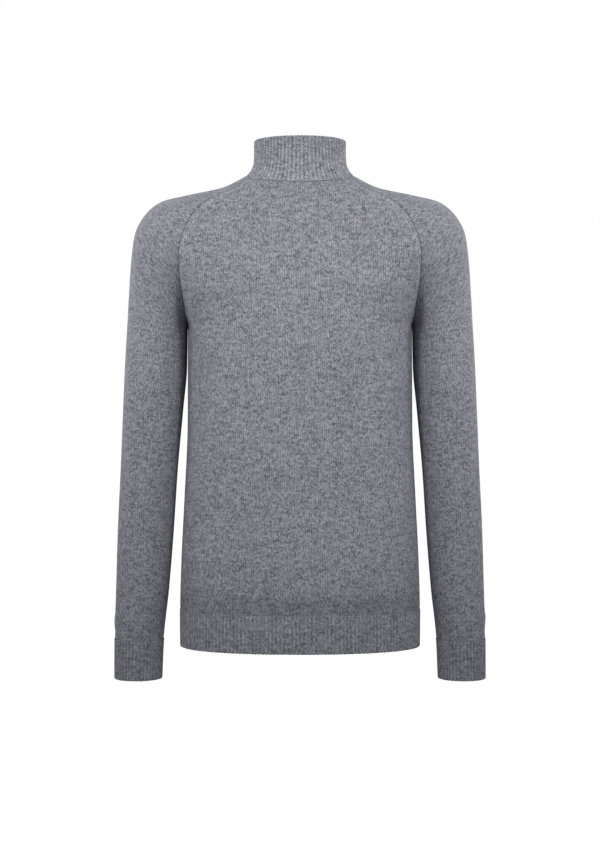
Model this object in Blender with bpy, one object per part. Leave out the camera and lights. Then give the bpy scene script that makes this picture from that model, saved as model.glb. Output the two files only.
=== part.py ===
"""Zip-up cardigan in plain and ribbed knit, filled out and hollow, as it hangs on its wearer.

Metres, +Z up. The front faces -Y and the wearer's left is +X. The origin is in the middle of the neck, just
above the collar seam at centre back. Every cloth panel is a wall between shared seam lines. The left half of
each outline is worked out from the tables below and the right half is its mirror image.
"""
import math

import bpy
import bmesh
import numpy as np


# ---- driving sizes ----
KNIT_WALL = 0.0022
RIB_WALL = 0.0020
RIB_HEIGHT = 0.0011
SEAM_GAP = 0.0003

UNDERARM_HEIGHT = -0.190
HEM_TOP = -0.574
HEM_BOTTOM = -0.6228
CUFF_TOP = -0.615
CUFF_BOTTOM = -0.669
FRONT_EDGE = 0.0055
BACK_NECK_HEIGHT = -0.0027
FRONT_NECK_HEIGHT = -0.045

COLLAR_RIBS = 80
HEM_RIBS = 166
CUFF_RIBS = 44

YOKE_STEPS = 8
YOKE_ROWS = 12
TORSO_ROWS = 12
SLEEVE_ROWS = 13
HALF_BACK_COLUMNS = 9
FRONT_COLUMNS = 9
SLEEVE_COLUMNS = 20
CURVE_SAMPLES = 121
ZIP_SAMPLES = 40
QUARTER_ROUND = 0.657
SHARP_ANGLE = 50

BACK, FRONT = 1.0, -1.0
SIDES = (("left", 1.0), ("right", -1.0))


def table(names, rows):
    """A table's columns by name."""
    return dict(zip(names.split(), np.array(rows, dtype=float).T))


# The body at its side seams: its half width, and how square its section is, where 1 is an ellipse.
SIDE = table("height half_width squareness", (
    (-0.624, 0.1624, 1.12),
    (-0.574, 0.1628, 1.12),
    (-0.508, 0.1611, 1.10),
    (-0.426, 0.1571, 1.09),
    (-0.324, 0.1526, 1.12),
    (-0.250, 0.1522, 1.18),
    (-0.190, 0.1520, 1.26)))

# How far the centre back and the centre front stand from the middle.
CENTRE_BACK = table("height reach", (
    (-0.624, 0.1060),
    (-0.574, 0.1055),
    (-0.508, 0.1020),
    (-0.426, 0.0985),
    (-0.324, 0.1020),
    (-0.250, 0.1090),
    (-0.190, 0.1130),
    (-0.143, 0.1125),
    (-0.095, 0.1065),
    (-0.048, 0.0945),
    (-0.024, 0.0850),
    (-0.0027, 0.0745)))
CENTRE_FRONT = table("height reach", (
    (-0.624, 0.1070),
    (-0.574, 0.1068),
    (-0.508, 0.1045),
    (-0.426, 0.1035),
    (-0.324, 0.1085),
    (-0.250, 0.1150),
    (-0.190, 0.1175),
    (-0.143, 0.1130),
    (-0.096, 0.0985),
    (-0.045, 0.0770)))

# The yoke in eight steps from the underarm to the neck. The crest is the outermost line of the sleeve, over
# the shoulder. Each sleeve section is an arc of an ellipse, from the crest to the raglan seam: its reach in
# degrees, and its half depth. Fold is how sharply the body turns in under the arm, from 0 to 1, and
# squareness is the body's, as at its side seams. Lift is how far the body follows the sleeve's rise there.
CREST = table("step x z", (
    (0, 0.2342, -0.1845),
    (1, 0.2323, -0.1500),
    (2, 0.2299, -0.1120),
    (3, 0.2245, -0.0680),
    (4, 0.2095, -0.0390),
    (5, 0.1870, -0.0217),
    (6, 0.1510, -0.0130),
    (7, 0.1060, -0.0035),
    (8, 0.0715, 0.0140)))
RAGLAN = {
    BACK: table("step x z reach depth fold squareness lift", (
        (0, 0.1520, -0.1900, 180, 0.0590, 1.00, 1.26, 1.00),
        (1, 0.1523, -0.1820, 160, 0.0620, 0.92, 1.24, 1.00),
        (2, 0.1545, -0.1600, 135, 0.0665, 0.80, 1.20, 1.00),
        (3, 0.1582, -0.1300, 112, 0.0760, 0.60, 1.14, 1.00),
        (4, 0.1592, -0.0990, 92, 0.0860, 0.34, 1.08, 1.00),
        (5, 0.1505, -0.0640, 75, 0.0885, 0.12, 1.03, 0.95),
        (6, 0.1285, -0.0315, 63, 0.0810, 0.00, 1.00, 0.85),
        (7, 0.0935, -0.0125, 60, 0.0660, 0.00, 1.00, 0.65),
        (8, 0.0650, 0.0055, 60, 0.0465, 0.00, 1.00, 0.30))),
    FRONT: table("step x z reach depth fold squareness lift", (
        (0, 0.1520, -0.1900, 180, 0.0590, 1.00, 1.26, 1.00),
        (1, 0.1522, -0.1830, 160, 0.0620, 0.92, 1.24, 1.00),
        (2, 0.1532, -0.1640, 135, 0.0670, 0.80, 1.20, 1.00),
        (3, 0.1545, -0.1370, 112, 0.0760, 0.60, 1.14, 1.00),
        (4, 0.1525, -0.1090, 92, 0.0855, 0.34, 1.08, 1.00),
        (5, 0.1430, -0.0800, 77, 0.0865, 0.12, 1.03, 0.95),
        (6, 0.1220, -0.0520, 67, 0.0800, 0.00, 1.00, 0.90),
        (7, 0.0900, -0.0300, 62, 0.0680, 0.00, 1.00, 0.80),
        (8, 0.0590, -0.0080, 60, 0.0535, 0.00, 1.00, 0.70)))}

# The sleeve below the underarm, by the height of its inner edge.
SLEEVE = table("height inner outer half_depth forward", (
    (-0.190, 0.1526, 0.2342, 0.0590, 0.000),
    (-0.243, 0.1534, 0.2374, 0.0560, 0.000),
    (-0.304, 0.1590, 0.2404, 0.0520, 0.002),
    (-0.386, 0.1666, 0.2441, 0.0470, 0.005),
    (-0.467, 0.1720, 0.2482, 0.0430, 0.007),
    (-0.549, 0.1788, 0.2509, 0.0400, 0.009),
    (-0.615, 0.1860, 0.2528, 0.0375, 0.010),
    (-0.669, 0.1884, 0.2530, 0.0360, 0.010)))
SLEEVE_TILT = 0.0055
UNDERARM_CLEARANCE = 0.0006

# The collar from its seam to its top edge: how far it has drawn in from the neck seam to the standing ring.
COLLAR = table("rise drawn_in", (
    (0.00, 0.00),
    (0.16, 0.56),
    (0.38, 0.93),
    (0.62, 1.00),
    (1.00, 1.00)))
COLLAR_ROWS = (0.00, 0.16, 0.38, 1.00)
COLLAR_HALF_WIDTH = 0.0620
COLLAR_BACK = 0.0630
COLLAR_FRONT = 0.0720
COLLAR_TOP_BACK = 0.0590
COLLAR_TOP_SIDE = 0.0600
COLLAR_TOP_FRONT = 0.0240
COLLAR_EVENNESS = 0.35

# The zip: its tapes lie behind the front edges, and its chain of teeth fills the opening between them.
TAPE_INNER = 0.0037
TAPE_OUTER = 0.0160
TAPE_WALL = 0.0008
TAPE_DEPTH = KNIT_WALL + 0.0005
ZIP_END = 0.0020
ZIP_COLLAR_ROWS = 5
CHAIN_HALF_WIDTH = 0.0030
CHAIN_WALL = 0.0024
CHAIN_DEPTH = TAPE_DEPTH + TAPE_WALL / 2 - CHAIN_WALL / 2

# The slider is closed, at the top. Its tab hangs from a bar under the bridge.
SLIDER_CENTRE = COLLAR_TOP_FRONT - 0.0125
SLIDER_HALF_HEIGHT = 0.0055
SLIDER_HALF_WIDTH = 0.0042
PLATE_THICKNESS = 0.0011
PLATE_CLEARANCE = 0.0003
POST_SIZE = 0.0022
POST_RISE = 0.0034
BRIDGE_HALF_WIDTH = 0.0008
BRIDGE_BAR = 0.0009
BRIDGE_OPENING = 0.0020
BRIDGE_HALF_OPENING = 0.0020
BRIDGE_ROOT = 0.0005
BRIDGE_BEVEL = 0.00025
PLATE_BEVEL = 0.0003
SMALL_BEVEL = 0.0001
PIVOT_STAND_OFF = 0.0010
TAB_THICKNESS = 0.0012
TAB_GRIP_EXTRA = 0.0008
TAB_HALF_WIDTH = 0.0031
TAB_LENGTH = 0.0260
TAB_HOLE_HALF_WIDTH = 0.0013
TAB_HOLE_END = 0.0040
TAB_POINTS = 28
TAB_SQUARENESS = 0.4
TAB_HOLE_SQUARENESS = 0.5
STOP_SIZE = (0.0022, 0.0028, 0.0036)
STOP_BEVEL = 0.00045
STOP_INSET = 0.0009
STOP_RISE = 0.0082
BOX_SIZE = (0.0060, 0.0034, 0.0070)
BOX_BEVEL = 0.00085

# Colours, in linear light, with roughness and metallic value.
KNIT_LOOK = ((0.245, 0.242, 0.280), 0.95, 0.0)
RIB_LOOK = ((0.235, 0.232, 0.272), 0.95, 0.0)
TAPE_LOOK = ((0.085, 0.085, 0.095), 0.90, 0.0)
METAL_LOOK = ((0.32, 0.32, 0.34), 0.32, 1.0)


# ---- curves ----
def smooth(xs, ys, at):
    """A smooth curve through a table's points that never overshoots between them."""
    order = np.argsort(xs)
    xs, ys = xs[order], ys[order]
    steps = np.diff(xs)
    slopes = np.diff(ys) / steps
    bends = slopes[1:] * slopes[:-1]
    inner = np.where(bends > 0, 2 * bends / np.where(bends > 0, slopes[1:] + slopes[:-1], 1), 0)
    tangents = np.concatenate(([slopes[0]], inner, [slopes[-1]]))
    at = np.clip(at, xs[0], xs[-1])
    i = np.clip(np.searchsorted(xs, at) - 1, 0, len(steps) - 1)
    t = (at - xs[i]) / steps[i]
    return (ys[i] * (1 + 2 * t) * (1 - t) ** 2 + tangents[i] * steps[i] * t * (1 - t) ** 2
            + ys[i + 1] * t * t * (3 - 2 * t) + tangents[i + 1] * steps[i] * t * t * (t - 1))


def read(columns, name, at):
    """One named column of a table, read along the table's first column."""
    key = next(iter(columns))
    return smooth(columns[key], columns[name], at)


def sweep(start, leaving, end, arriving, squareness):
    """A round curve from start to end with given directions at both ends."""
    chord = end - start
    turn = 1 - float(np.dot(leaving, arriving))
    spread = (1 + QUARTER_ROUND * turn) * (1 + (squareness - 1) * turn)
    outward = leaving * abs(np.dot(chord, leaving)) * spread
    inward = arriving * abs(np.dot(chord, arriving)) * spread
    t = np.linspace(0, 1, CURVE_SAMPLES)[:, None]
    return (start * (1 + 2 * t) * (1 - t) ** 2 + outward * t * (1 - t) ** 2
            + end * t * t * (3 - 2 * t) + inward * t * t * (t - 1))


def lengths(points):
    """How far along a line of points each of them is."""
    steps = np.linalg.norm(np.diff(points, axis=0), axis=1)
    return np.concatenate(([0], np.cumsum(steps)))


def pick(points, at, along=None):
    """Points read from a line at given places, measured along it or by another rising value."""
    along = lengths(points) if along is None else along
    return np.stack([np.interp(at, along, points[:, axis]) for axis in range(3)], axis=1)


def unit(vector):
    return vector / np.linalg.norm(vector)


def mirrored(points):
    return points * np.array([-1, 1, 1])


# ---- the garment's form: rows from the hem to the neck ----
# A row below the underarm is named by its height above the underarm, a negative number. A row in the yoke is
# named by its step, from 0 to 8.
def sleeve_section(row, face):
    """Centre, outward arm, half depth and reach of the sleeve's ellipse, for its back or its front."""
    if row < 0:
        height = UNDERARM_HEIGHT + row
        tilt = SLEEVE_TILT * (1 - row / (CUFF_TOP - UNDERARM_HEIGHT))
        inner = np.array([read(SLEEVE, "inner", height), 0, height])
        outer = np.array([read(SLEEVE, "outer", height), 0, height + max(tilt, 0)])
        forward = np.array([0, -float(read(SLEEVE, "forward", height)), 0])
        centre = (inner + outer) / 2 + forward
        return centre, (outer - inner) / 2, float(read(SLEEVE, "half_depth", height)), math.pi
    seam = RAGLAN[face]
    reach = math.radians(float(read(seam, "reach", row)))
    near = np.array([read(seam, "x", row), 0, read(seam, "z", row)])
    crest = np.array([read(CREST, "x", row), 0, read(CREST, "z", row)])
    centre = (near - crest * math.cos(reach)) / (1 - math.cos(reach))
    return centre, crest - centre, float(read(seam, "depth", row)), reach


def sleeve_row(row, face):
    """The sleeve's half row from its seam to its crest, on the back or on the front."""
    centre, arm, depth, reach = sleeve_section(row, face)
    angle = np.linspace(reach, 0, CURVE_SAMPLES)[:, None]
    return centre + arm * np.cos(angle) + np.array([0, face * depth, 0]) * np.sin(angle)


def body_row(row, face):
    """The body's half row from its centre line to its side or raglan seam."""
    centre_table = CENTRE_BACK if face == BACK else CENTRE_FRONT
    if row < 0:
        height = UNDERARM_HEIGHT + row
        seam = np.array([float(read(SIDE, "half_width", height)), 0, height])
        arriving = np.array([0, -face, 0])
        squareness = float(read(SIDE, "squareness", height))
    else:
        neck = BACK_NECK_HEIGHT if face == BACK else FRONT_NECK_HEIGHT
        height = UNDERARM_HEIGHT + (neck - UNDERARM_HEIGHT) * row / YOKE_STEPS
        centre, arm, depth, reach = sleeve_section(row, face)
        sideways = np.array([0, face * depth, 0])
        seam = centre + arm * math.cos(reach) + sideways * math.sin(reach)
        onward = unit(arm * math.sin(reach) - sideways * math.cos(reach))
        fold = float(read(RAGLAN[face], "fold", row))
        onward[2] *= float(read(RAGLAN[face], "lift", row))
        arriving = unit(onward * (1 - fold) + np.array([0, -face, 0]) * fold)
        squareness = float(read(RAGLAN[face], "squareness", row))
    middle = np.array([0, face * float(read(centre_table, "reach", height)), height])
    return sweep(middle, np.array([1.0, 0, 0]), seam, arriving, squareness)


def body_rows():
    """The names of the rows of a front or back panel, from its seam with the hem band to the neck."""
    torso = np.linspace(HEM_TOP - UNDERARM_HEIGHT, 0, TORSO_ROWS + 1)[:-1]
    return np.concatenate((torso, np.linspace(0, YOKE_STEPS, YOKE_ROWS + 1)))


def collar_ring(rise):
    """The collar's left half at one height, from centre front to centre back, before its ribs."""
    neck = np.concatenate((body_row(YOKE_STEPS, FRONT),
                           sleeve_row(YOKE_STEPS, FRONT)[1:],
                           sleeve_row(YOKE_STEPS, BACK)[::-1][1:],
                           body_row(YOKE_STEPS, BACK)[::-1][1:]))
    share = lengths(neck) / lengths(neck)[-1]
    angle = np.linspace(0, math.pi, CURVE_SAMPLES)
    neck = pick(neck, angle / math.pi, share)
    in_front = angle < math.pi / 2
    reach = np.where(in_front, COLLAR_FRONT, COLLAR_BACK)
    end_height = np.where(in_front, COLLAR_TOP_FRONT, COLLAR_TOP_BACK)
    lean = np.abs(np.cos(angle))
    slope = lean * (COLLAR_EVENNESS + (1 - COLLAR_EVENNESS) * lean)
    height = COLLAR_TOP_SIDE + (end_height - COLLAR_TOP_SIDE) * slope
    standing = np.stack((COLLAR_HALF_WIDTH * np.sin(angle), -reach * np.cos(angle), height), axis=1)
    drawn_in = float(read(COLLAR, "drawn_in", rise))
    return neck + (standing - neck) * np.array([drawn_in, drawn_in, rise])


def hem_ring(height):
    """The hem's left half at one height, from centre front to centre back, before its ribs."""
    row = height - UNDERARM_HEIGHT
    return np.concatenate((body_row(row, FRONT), body_row(row, BACK)[::-1][1:]))


# ---- panels: rows rise, and columns run anticlockwise seen from above ----
def panel(curves, columns, begin=0.0, finish=0.0):
    """A panel's outer points and outward directions, from the lines of its rows, trimmed at both ends."""
    curves = np.array(curves)
    directions = np.cross(np.gradient(curves, axis=1), np.gradient(curves, axis=0))
    points, facing = [], []
    for curve, direction in zip(curves, directions):
        along = lengths(curve)
        at = np.linspace(begin, along[-1] - finish, columns + 1)
        points.append(pick(curve, at, along))
        facing.append(pick(direction, at, along))
    facing = np.array(facing)
    return np.array(points), facing / np.linalg.norm(facing, axis=-1, keepdims=True)


def pull_in(points, edges):
    """Draws the named edges of a panel half a seam gap inward from its seams."""
    for edge in edges.split():
        line, inner = {"high": (points[-1], points[-2]),
                       "first": (points[:, 0], points[:, 1]),
                       "last": (points[:, -1], points[:, -2])}[edge]
        step = inner - line
        line += step / np.linalg.norm(step, axis=-1, keepdims=True) * SEAM_GAP / 2


def right_side(points, facing):
    """The same panel on the wearer's right."""
    return mirrored(points)[:, ::-1], mirrored(facing)[:, ::-1]


def back_panel():
    halves = [body_row(row, BACK) for row in body_rows()]
    curves = [np.concatenate((half[::-1], mirrored(half)[1:])) for half in halves]
    points, facing = panel(curves, 2 * HALF_BACK_COLUMNS)
    pull_in(points, "high first last")
    return points, facing


def left_front_panel():
    curves = [body_row(row, FRONT) for row in body_rows()]
    points, facing = panel(curves, FRONT_COLUMNS, begin=FRONT_EDGE)
    pull_in(points, "high last")
    return points, facing


def sleeve_ring(row):
    """A sleeve's whole row, from its front seam over the crest to its back seam."""
    return np.concatenate((sleeve_row(row, FRONT), sleeve_row(row, BACK)[::-1][1:]))


def left_sleeve_panel():
    tube = np.linspace(CUFF_TOP - UNDERARM_HEIGHT, 0, SLEEVE_ROWS + 1)[:-1]
    yoke = np.linspace(0, YOKE_STEPS, YOKE_ROWS + 1)
    points, facing = panel([sleeve_ring(row) for row in np.concatenate((tube, yoke))], SLEEVE_COLUMNS)
    pull_in(points[SLEEVE_ROWS + 1:], "high first last")
    points[SLEEVE_ROWS, [0, -1], 0] += UNDERARM_CLEARANCE
    return points, facing


def round_band(halves, ribs):
    """An open ribbed band round the body, two columns to a rib, from the left front edge to the right."""
    curves = [np.concatenate((half, mirrored(half)[::-1][1:])) for half in halves]
    return panel(curves, 2 * ribs, begin=FRONT_EDGE, finish=FRONT_EDGE)


def left_cuff_panel():
    """A closed ribbed band, whose first and last columns are one."""
    heights = (CUFF_BOTTOM, CUFF_TOP - SEAM_GAP)
    return panel([sleeve_ring(height - UNDERARM_HEIGHT) for height in heights], 2 * CUFF_RIBS)


def rib_heights(ribs):
    """How far each column of a band is raised: every second one, so that both edges are low."""
    return RIB_HEIGHT * (np.arange(2 * ribs + 1) % 2)


# ---- the zip's strips, which lie in the front opening and behind its edges ----
def zip_rows(bottom, top):
    """Lines that leave the centre front toward the left, from one height to another."""
    rows = [row for row in body_rows() if row > bottom - UNDERARM_HEIGHT]
    curves = [body_row(row, FRONT) for row in [bottom - UNDERARM_HEIGHT] + rows]
    collar_height = COLLAR_TOP_FRONT - FRONT_NECK_HEIGHT
    for rise in np.linspace(0, (top - FRONT_NECK_HEIGHT) / collar_height, ZIP_COLLAR_ROWS + 1)[1:]:
        curves.append(collar_ring(rise))
    return [curve[:ZIP_SAMPLES] for curve in curves]


def strip(curves, places, depth):
    """A strip's outer points at given places from the centre line, set a depth into the cloth."""
    points = np.array([pick(curve, np.abs(places), curve[:, 0]) for curve in curves])
    points[..., 0] *= np.sign(places)
    facing = np.cross(np.gradient(points, axis=1), np.gradient(points, axis=0))
    facing /= np.linalg.norm(facing, axis=-1, keepdims=True)
    return points - facing * depth, facing


# ---- objects ----
def material(name, look):
    colour, roughness, metallic = look
    shade = bpy.data.materials.new(name)
    shade.use_nodes = True
    surface = shade.node_tree.nodes["Principled BSDF"]
    surface.inputs["Base Color"].default_value = (*colour, 1)
    surface.inputs["Roughness"].default_value = roughness
    surface.inputs["Metallic"].default_value = metallic
    return shade


def add_object(name, bm, shade):
    mesh = bpy.data.meshes.new(name)
    bm.to_mesh(mesh)
    bm.free()
    mesh.shade_smooth()
    mesh.set_sharp_from_angle(angle=math.radians(SHARP_ANGLE))
    mesh.materials.append(shade)
    thing = bpy.data.objects.new(name, mesh)
    bpy.context.scene.collection.objects.link(thing)
    return thing


def sheet_mesh(grid):
    """A sheet of quads over a grid of points."""
    bm = bmesh.new()
    bmesh.ops.create_grid(bm, x_segments=grid.shape[1] - 1, y_segments=grid.shape[0] - 1, size=1)
    for vert, point in zip(bm.verts, grid.reshape(-1, 3)):
        vert.co = point
    return bm


def cloth(name, sheet, wall, shade, raised=0.0):
    """A closed wall behind a panel's outer points, with ribs raised on the outside alone."""
    points, facing = (rows.reshape(-1, 3) for rows in sheet)
    raised = np.broadcast_to(raised, sheet[0].shape[:2]).reshape(-1, 1)
    bm = sheet_mesh(sheet[0])
    number = bm.verts.layers.int.new("number")
    for index, vert in enumerate(bm.verts):
        vert[number] = index
    bmesh.ops.remove_doubles(bm, verts=bm.verts[:], dist=1e-6)
    outer = set(bm.verts)
    bmesh.ops.solidify(bm, geom=bm.faces[:], thickness=wall)
    outside, inside = points + facing * raised, points - facing * wall
    for vert in bm.verts:
        vert.co = (outside if vert in outer else inside)[vert[number]]
    return add_object(name, bm, shade)


def block(name, centre, size, bevel, shade, segments=2):
    """A box with its edges rounded off."""
    bm = bmesh.new()
    bmesh.ops.create_cube(bm, size=1)
    bmesh.ops.scale(bm, vec=size, verts=bm.verts[:])
    bmesh.ops.bevel(bm, geom=bm.edges[:], offset=bevel, segments=segments, profile=0.5, affect="EDGES",
                    material=-1)
    bmesh.ops.translate(bm, vec=centre, verts=bm.verts[:])
    return add_object(name, bm, shade)


def combine(base, other, operation):
    """Adds a hidden helper shape to an object or cuts it out of it."""
    other.hide_render = True
    other.display_type = "WIRE"
    step = base.modifiers.new(other.name, "BOOLEAN")
    step.operation = operation
    step.object = other


def rounded_loop(half_width, top, bottom, power):
    """A rounded rectangle standing in the XZ plane, as a closed line of points. A power of 1 is an ellipse."""
    angle = np.linspace(0, 2 * math.pi, TAB_POINTS + 1)
    across, up = np.cos(angle), np.sin(angle)
    x = half_width * np.sign(across) * np.abs(across) ** power
    z = (top + bottom) / 2 + (top - bottom) / 2 * np.sign(up) * np.abs(up) ** power
    return np.stack((x, np.zeros_like(x), z), axis=1)


def pull_tab(pivot, shade):
    """A flat tab whose top bar lies under the slider's bridge. Its grip is thicker toward the front."""
    half = TAB_THICKNESS / 2
    outline = rounded_loop(TAB_HALF_WIDTH, half, half - TAB_LENGTH, TAB_SQUARENESS)
    hole = rounded_loop(TAB_HOLE_HALF_WIDTH, -half, -TAB_HOLE_END, TAB_HOLE_SQUARENESS)
    rings = []
    for loop, face in ((outline, FRONT), (outline, BACK), (hole, BACK), (hole, FRONT), (outline, FRONT)):
        grip = np.clip((-TAB_HOLE_END - loop[:, 2]) / (TAB_LENGTH / 2), 0, 1) * TAB_GRIP_EXTRA
        ring = loop.copy()
        ring[:, 1] = face * half - (grip if face == FRONT else 0)
        rings.append(ring + pivot)
    bm = sheet_mesh(np.array(rings))
    bmesh.ops.remove_doubles(bm, verts=bm.verts[:], dist=1e-7)
    if bm.calc_volume(signed=True) < 0:
        bmesh.ops.reverse_faces(bm, faces=bm.faces[:])
    return add_object("zip_pull_tab", bm, shade)


def slider(front, shade):
    """Two plates joined by a post above the chain, with a bridge for the tab. Returns the tab's pivot point."""
    plate_back = front + CHAIN_DEPTH - PLATE_CLEARANCE
    plate_front = plate_back - PLATE_THICKNESS
    rear_front = front + CHAIN_DEPTH + CHAIN_WALL + PLATE_CLEARANCE
    height = SLIDER_HALF_HEIGHT * 2
    width = SLIDER_HALF_WIDTH * 2
    centre = SLIDER_CENTRE
    body = block("zip_slider", (0, (plate_front + plate_back) / 2, centre),
                 (width, PLATE_THICKNESS, height), PLATE_BEVEL, shade)
    rear = block("slider_rear_plate", (0, rear_front + PLATE_THICKNESS / 2, centre),
                 (width, PLATE_THICKNESS, height), PLATE_BEVEL, shade)
    post = block("slider_post", (0, (plate_front + rear_front + PLATE_THICKNESS) / 2, centre + POST_RISE),
                 (POST_SIZE, rear_front - plate_front, POST_SIZE), SMALL_BEVEL, shade)
    depth = BRIDGE_OPENING + BRIDGE_BAR + BRIDGE_ROOT
    bridge = block("slider_bridge", (0, plate_front + BRIDGE_ROOT - depth / 2, centre),
                   (BRIDGE_HALF_WIDTH * 2, depth, (BRIDGE_HALF_OPENING + BRIDGE_BAR) * 2), BRIDGE_BEVEL, shade)
    depth = BRIDGE_OPENING + BRIDGE_ROOT / 2
    opening = block("slider_bridge_opening", (0, plate_front - BRIDGE_OPENING + depth / 2, centre),
                    (width, depth, BRIDGE_HALF_OPENING * 2), SMALL_BEVEL, shade)
    combine(bridge, opening, "DIFFERENCE")
    combine(body, rear, "UNION")
    combine(body, post, "UNION")
    combine(body, bridge, "UNION")
    return np.array([0, plate_front - PIVOT_STAND_OFF, centre])


def knit_panels(knit):
    """Back, fronts and sleeves."""
    cloth("back", back_panel(), KNIT_WALL, knit)
    for name, sheet in (("front", left_front_panel()), ("sleeve", left_sleeve_panel())):
        cloth(f"{name}_left", sheet, KNIT_WALL, knit)
        cloth(f"{name}_right", right_side(*sheet), KNIT_WALL, knit)


def ribbed_bands(rib):
    """Collar, hem band and cuffs."""
    collar = round_band([collar_ring(rise) for rise in COLLAR_ROWS], COLLAR_RIBS)
    collar[0][0, :, 2] += SEAM_GAP
    cloth("collar", collar, RIB_WALL, rib, rib_heights(COLLAR_RIBS))
    hem = round_band([hem_ring(height) for height in (HEM_BOTTOM, HEM_TOP - SEAM_GAP)], HEM_RIBS)
    cloth("hem_band", hem, RIB_WALL, rib, rib_heights(HEM_RIBS))
    cuff = left_cuff_panel()
    cloth("cuff_left", cuff, RIB_WALL, rib, rib_heights(CUFF_RIBS))
    cloth("cuff_right", right_side(*cuff), RIB_WALL, rib, rib_heights(CUFF_RIBS))


def zip_strips(tape, metal):
    """Two tapes and the plain chain between them."""
    curves = zip_rows(HEM_BOTTOM + ZIP_END, COLLAR_TOP_FRONT - ZIP_END)
    sheet = strip(curves, (TAPE_INNER, (TAPE_INNER + TAPE_OUTER) / 2, TAPE_OUTER), TAPE_DEPTH)
    cloth("zip_tape_left", sheet, TAPE_WALL, tape)
    cloth("zip_tape_right", right_side(*sheet), TAPE_WALL, tape)
    bottom = HEM_BOTTOM + ZIP_END + BOX_SIZE[2] + SEAM_GAP
    top = SLIDER_CENTRE + POST_RISE - POST_SIZE / 2 - PLATE_CLEARANCE
    sheet = strip(zip_rows(bottom, top), (-CHAIN_HALF_WIDTH, 0, CHAIN_HALF_WIDTH), CHAIN_DEPTH)
    cloth("zip_chain", sheet, CHAIN_WALL, metal)


def centre_front(height):
    """Where the cloth's outer face is at centre front."""
    if height > FRONT_NECK_HEIGHT:
        rise = (height - FRONT_NECK_HEIGHT) / (COLLAR_TOP_FRONT - FRONT_NECK_HEIGHT)
        return float(collar_ring(rise)[0, 1])
    return float(body_row(height - UNDERARM_HEIGHT, FRONT)[0, 1])


def zip_fittings(metal):
    """Slider and tab at the top, a stop above each side of it, and the box at the bottom."""
    pivot = slider(centre_front(SLIDER_CENTRE), metal)
    pull_tab(pivot, metal)
    height = SLIDER_CENTRE + STOP_RISE
    depth = centre_front(height) + CHAIN_DEPTH + CHAIN_WALL / 2
    across = TAPE_INNER - STOP_INSET - STOP_SIZE[0] / 2
    for side, sign in SIDES:
        block(f"zip_stop_{side}", (sign * across, depth, height), STOP_SIZE, STOP_BEVEL, metal, segments=1)
    height = HEM_BOTTOM + ZIP_END + BOX_SIZE[2] / 2
    depth = centre_front(height) + CHAIN_DEPTH + CHAIN_WALL / 2
    block("zip_box", (0, depth, height), BOX_SIZE, BOX_BEVEL, metal)


def build():
    for thing in list(bpy.data.objects):
        bpy.data.objects.remove(thing)
    metal = material("dark_nickel", METAL_LOOK)
    knit_panels(material("grey_melange_knit", KNIT_LOOK))
    ribbed_bands(material("grey_melange_rib", RIB_LOOK))
    zip_strips(material("dark_grey_tape", TAPE_LOOK), metal)
    zip_fittings(metal)


build()
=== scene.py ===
"""A zip-up cardigan in grey melange knit: cloth shells on the solids' form, with ribs, seams and a metal zip.

Metres, in the part's own frame: +Z up, the front faces -Y, and the wearer's left is +X. The form's tables and
curves are those of the solids. Each cloth piece is a grid of points that know their place on the cloth, in
metres, which carries the knit. Relief is added along the directions that point out of the cloth.
"""
import math
from types import SimpleNamespace

import bmesh
import bpy
import numpy as np
from mathutils import Matrix, Vector


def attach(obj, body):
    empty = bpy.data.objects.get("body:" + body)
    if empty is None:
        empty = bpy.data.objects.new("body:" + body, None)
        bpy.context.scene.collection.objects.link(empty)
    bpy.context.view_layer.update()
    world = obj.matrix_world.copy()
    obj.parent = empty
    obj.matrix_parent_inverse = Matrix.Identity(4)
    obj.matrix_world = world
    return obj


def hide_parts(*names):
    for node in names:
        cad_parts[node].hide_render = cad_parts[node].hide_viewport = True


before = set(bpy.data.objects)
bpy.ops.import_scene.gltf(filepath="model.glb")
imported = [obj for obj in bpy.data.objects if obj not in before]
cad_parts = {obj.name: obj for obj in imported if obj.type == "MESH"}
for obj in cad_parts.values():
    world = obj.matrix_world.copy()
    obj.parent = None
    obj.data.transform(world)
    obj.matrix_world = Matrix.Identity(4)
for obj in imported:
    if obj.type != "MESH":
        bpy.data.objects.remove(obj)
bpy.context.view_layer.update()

BODY = "garment"
TAB_BODY = "pull_tab"
BACK, FRONT = 1.0, -1.0
SIDES = (("left", 1), ("right", -1))

# ---- sizes of the garment, as in the solids ----
KNIT_WALL = 0.0022
RIB_HEIGHT = 0.0011
UNDERARM_HEIGHT = -0.190
HEM_TOP = -0.574
HEM_BOTTOM = -0.6228
CUFF_TOP = -0.615
CUFF_BOTTOM = -0.669
FRONT_EDGE = 0.0055
BACK_NECK_HEIGHT = -0.0027
FRONT_NECK_HEIGHT = -0.045
COLLAR_RIBS = 80
HEM_RIBS = 166
CUFF_RIBS = 44
YOKE_STEPS = 8
CURVE_SAMPLES = 161
ZIP_SAMPLES = 54
QUARTER_ROUND = 0.657

COLLAR_HALF_WIDTH = 0.0620
COLLAR_BACK = 0.0630
COLLAR_FRONT = 0.0720
COLLAR_TOP_BACK = 0.0590
COLLAR_TOP_SIDE = 0.0600
COLLAR_TOP_FRONT = 0.0240
COLLAR_EVENNESS = 0.35
SLEEVE_TILT = 0.0055

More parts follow.
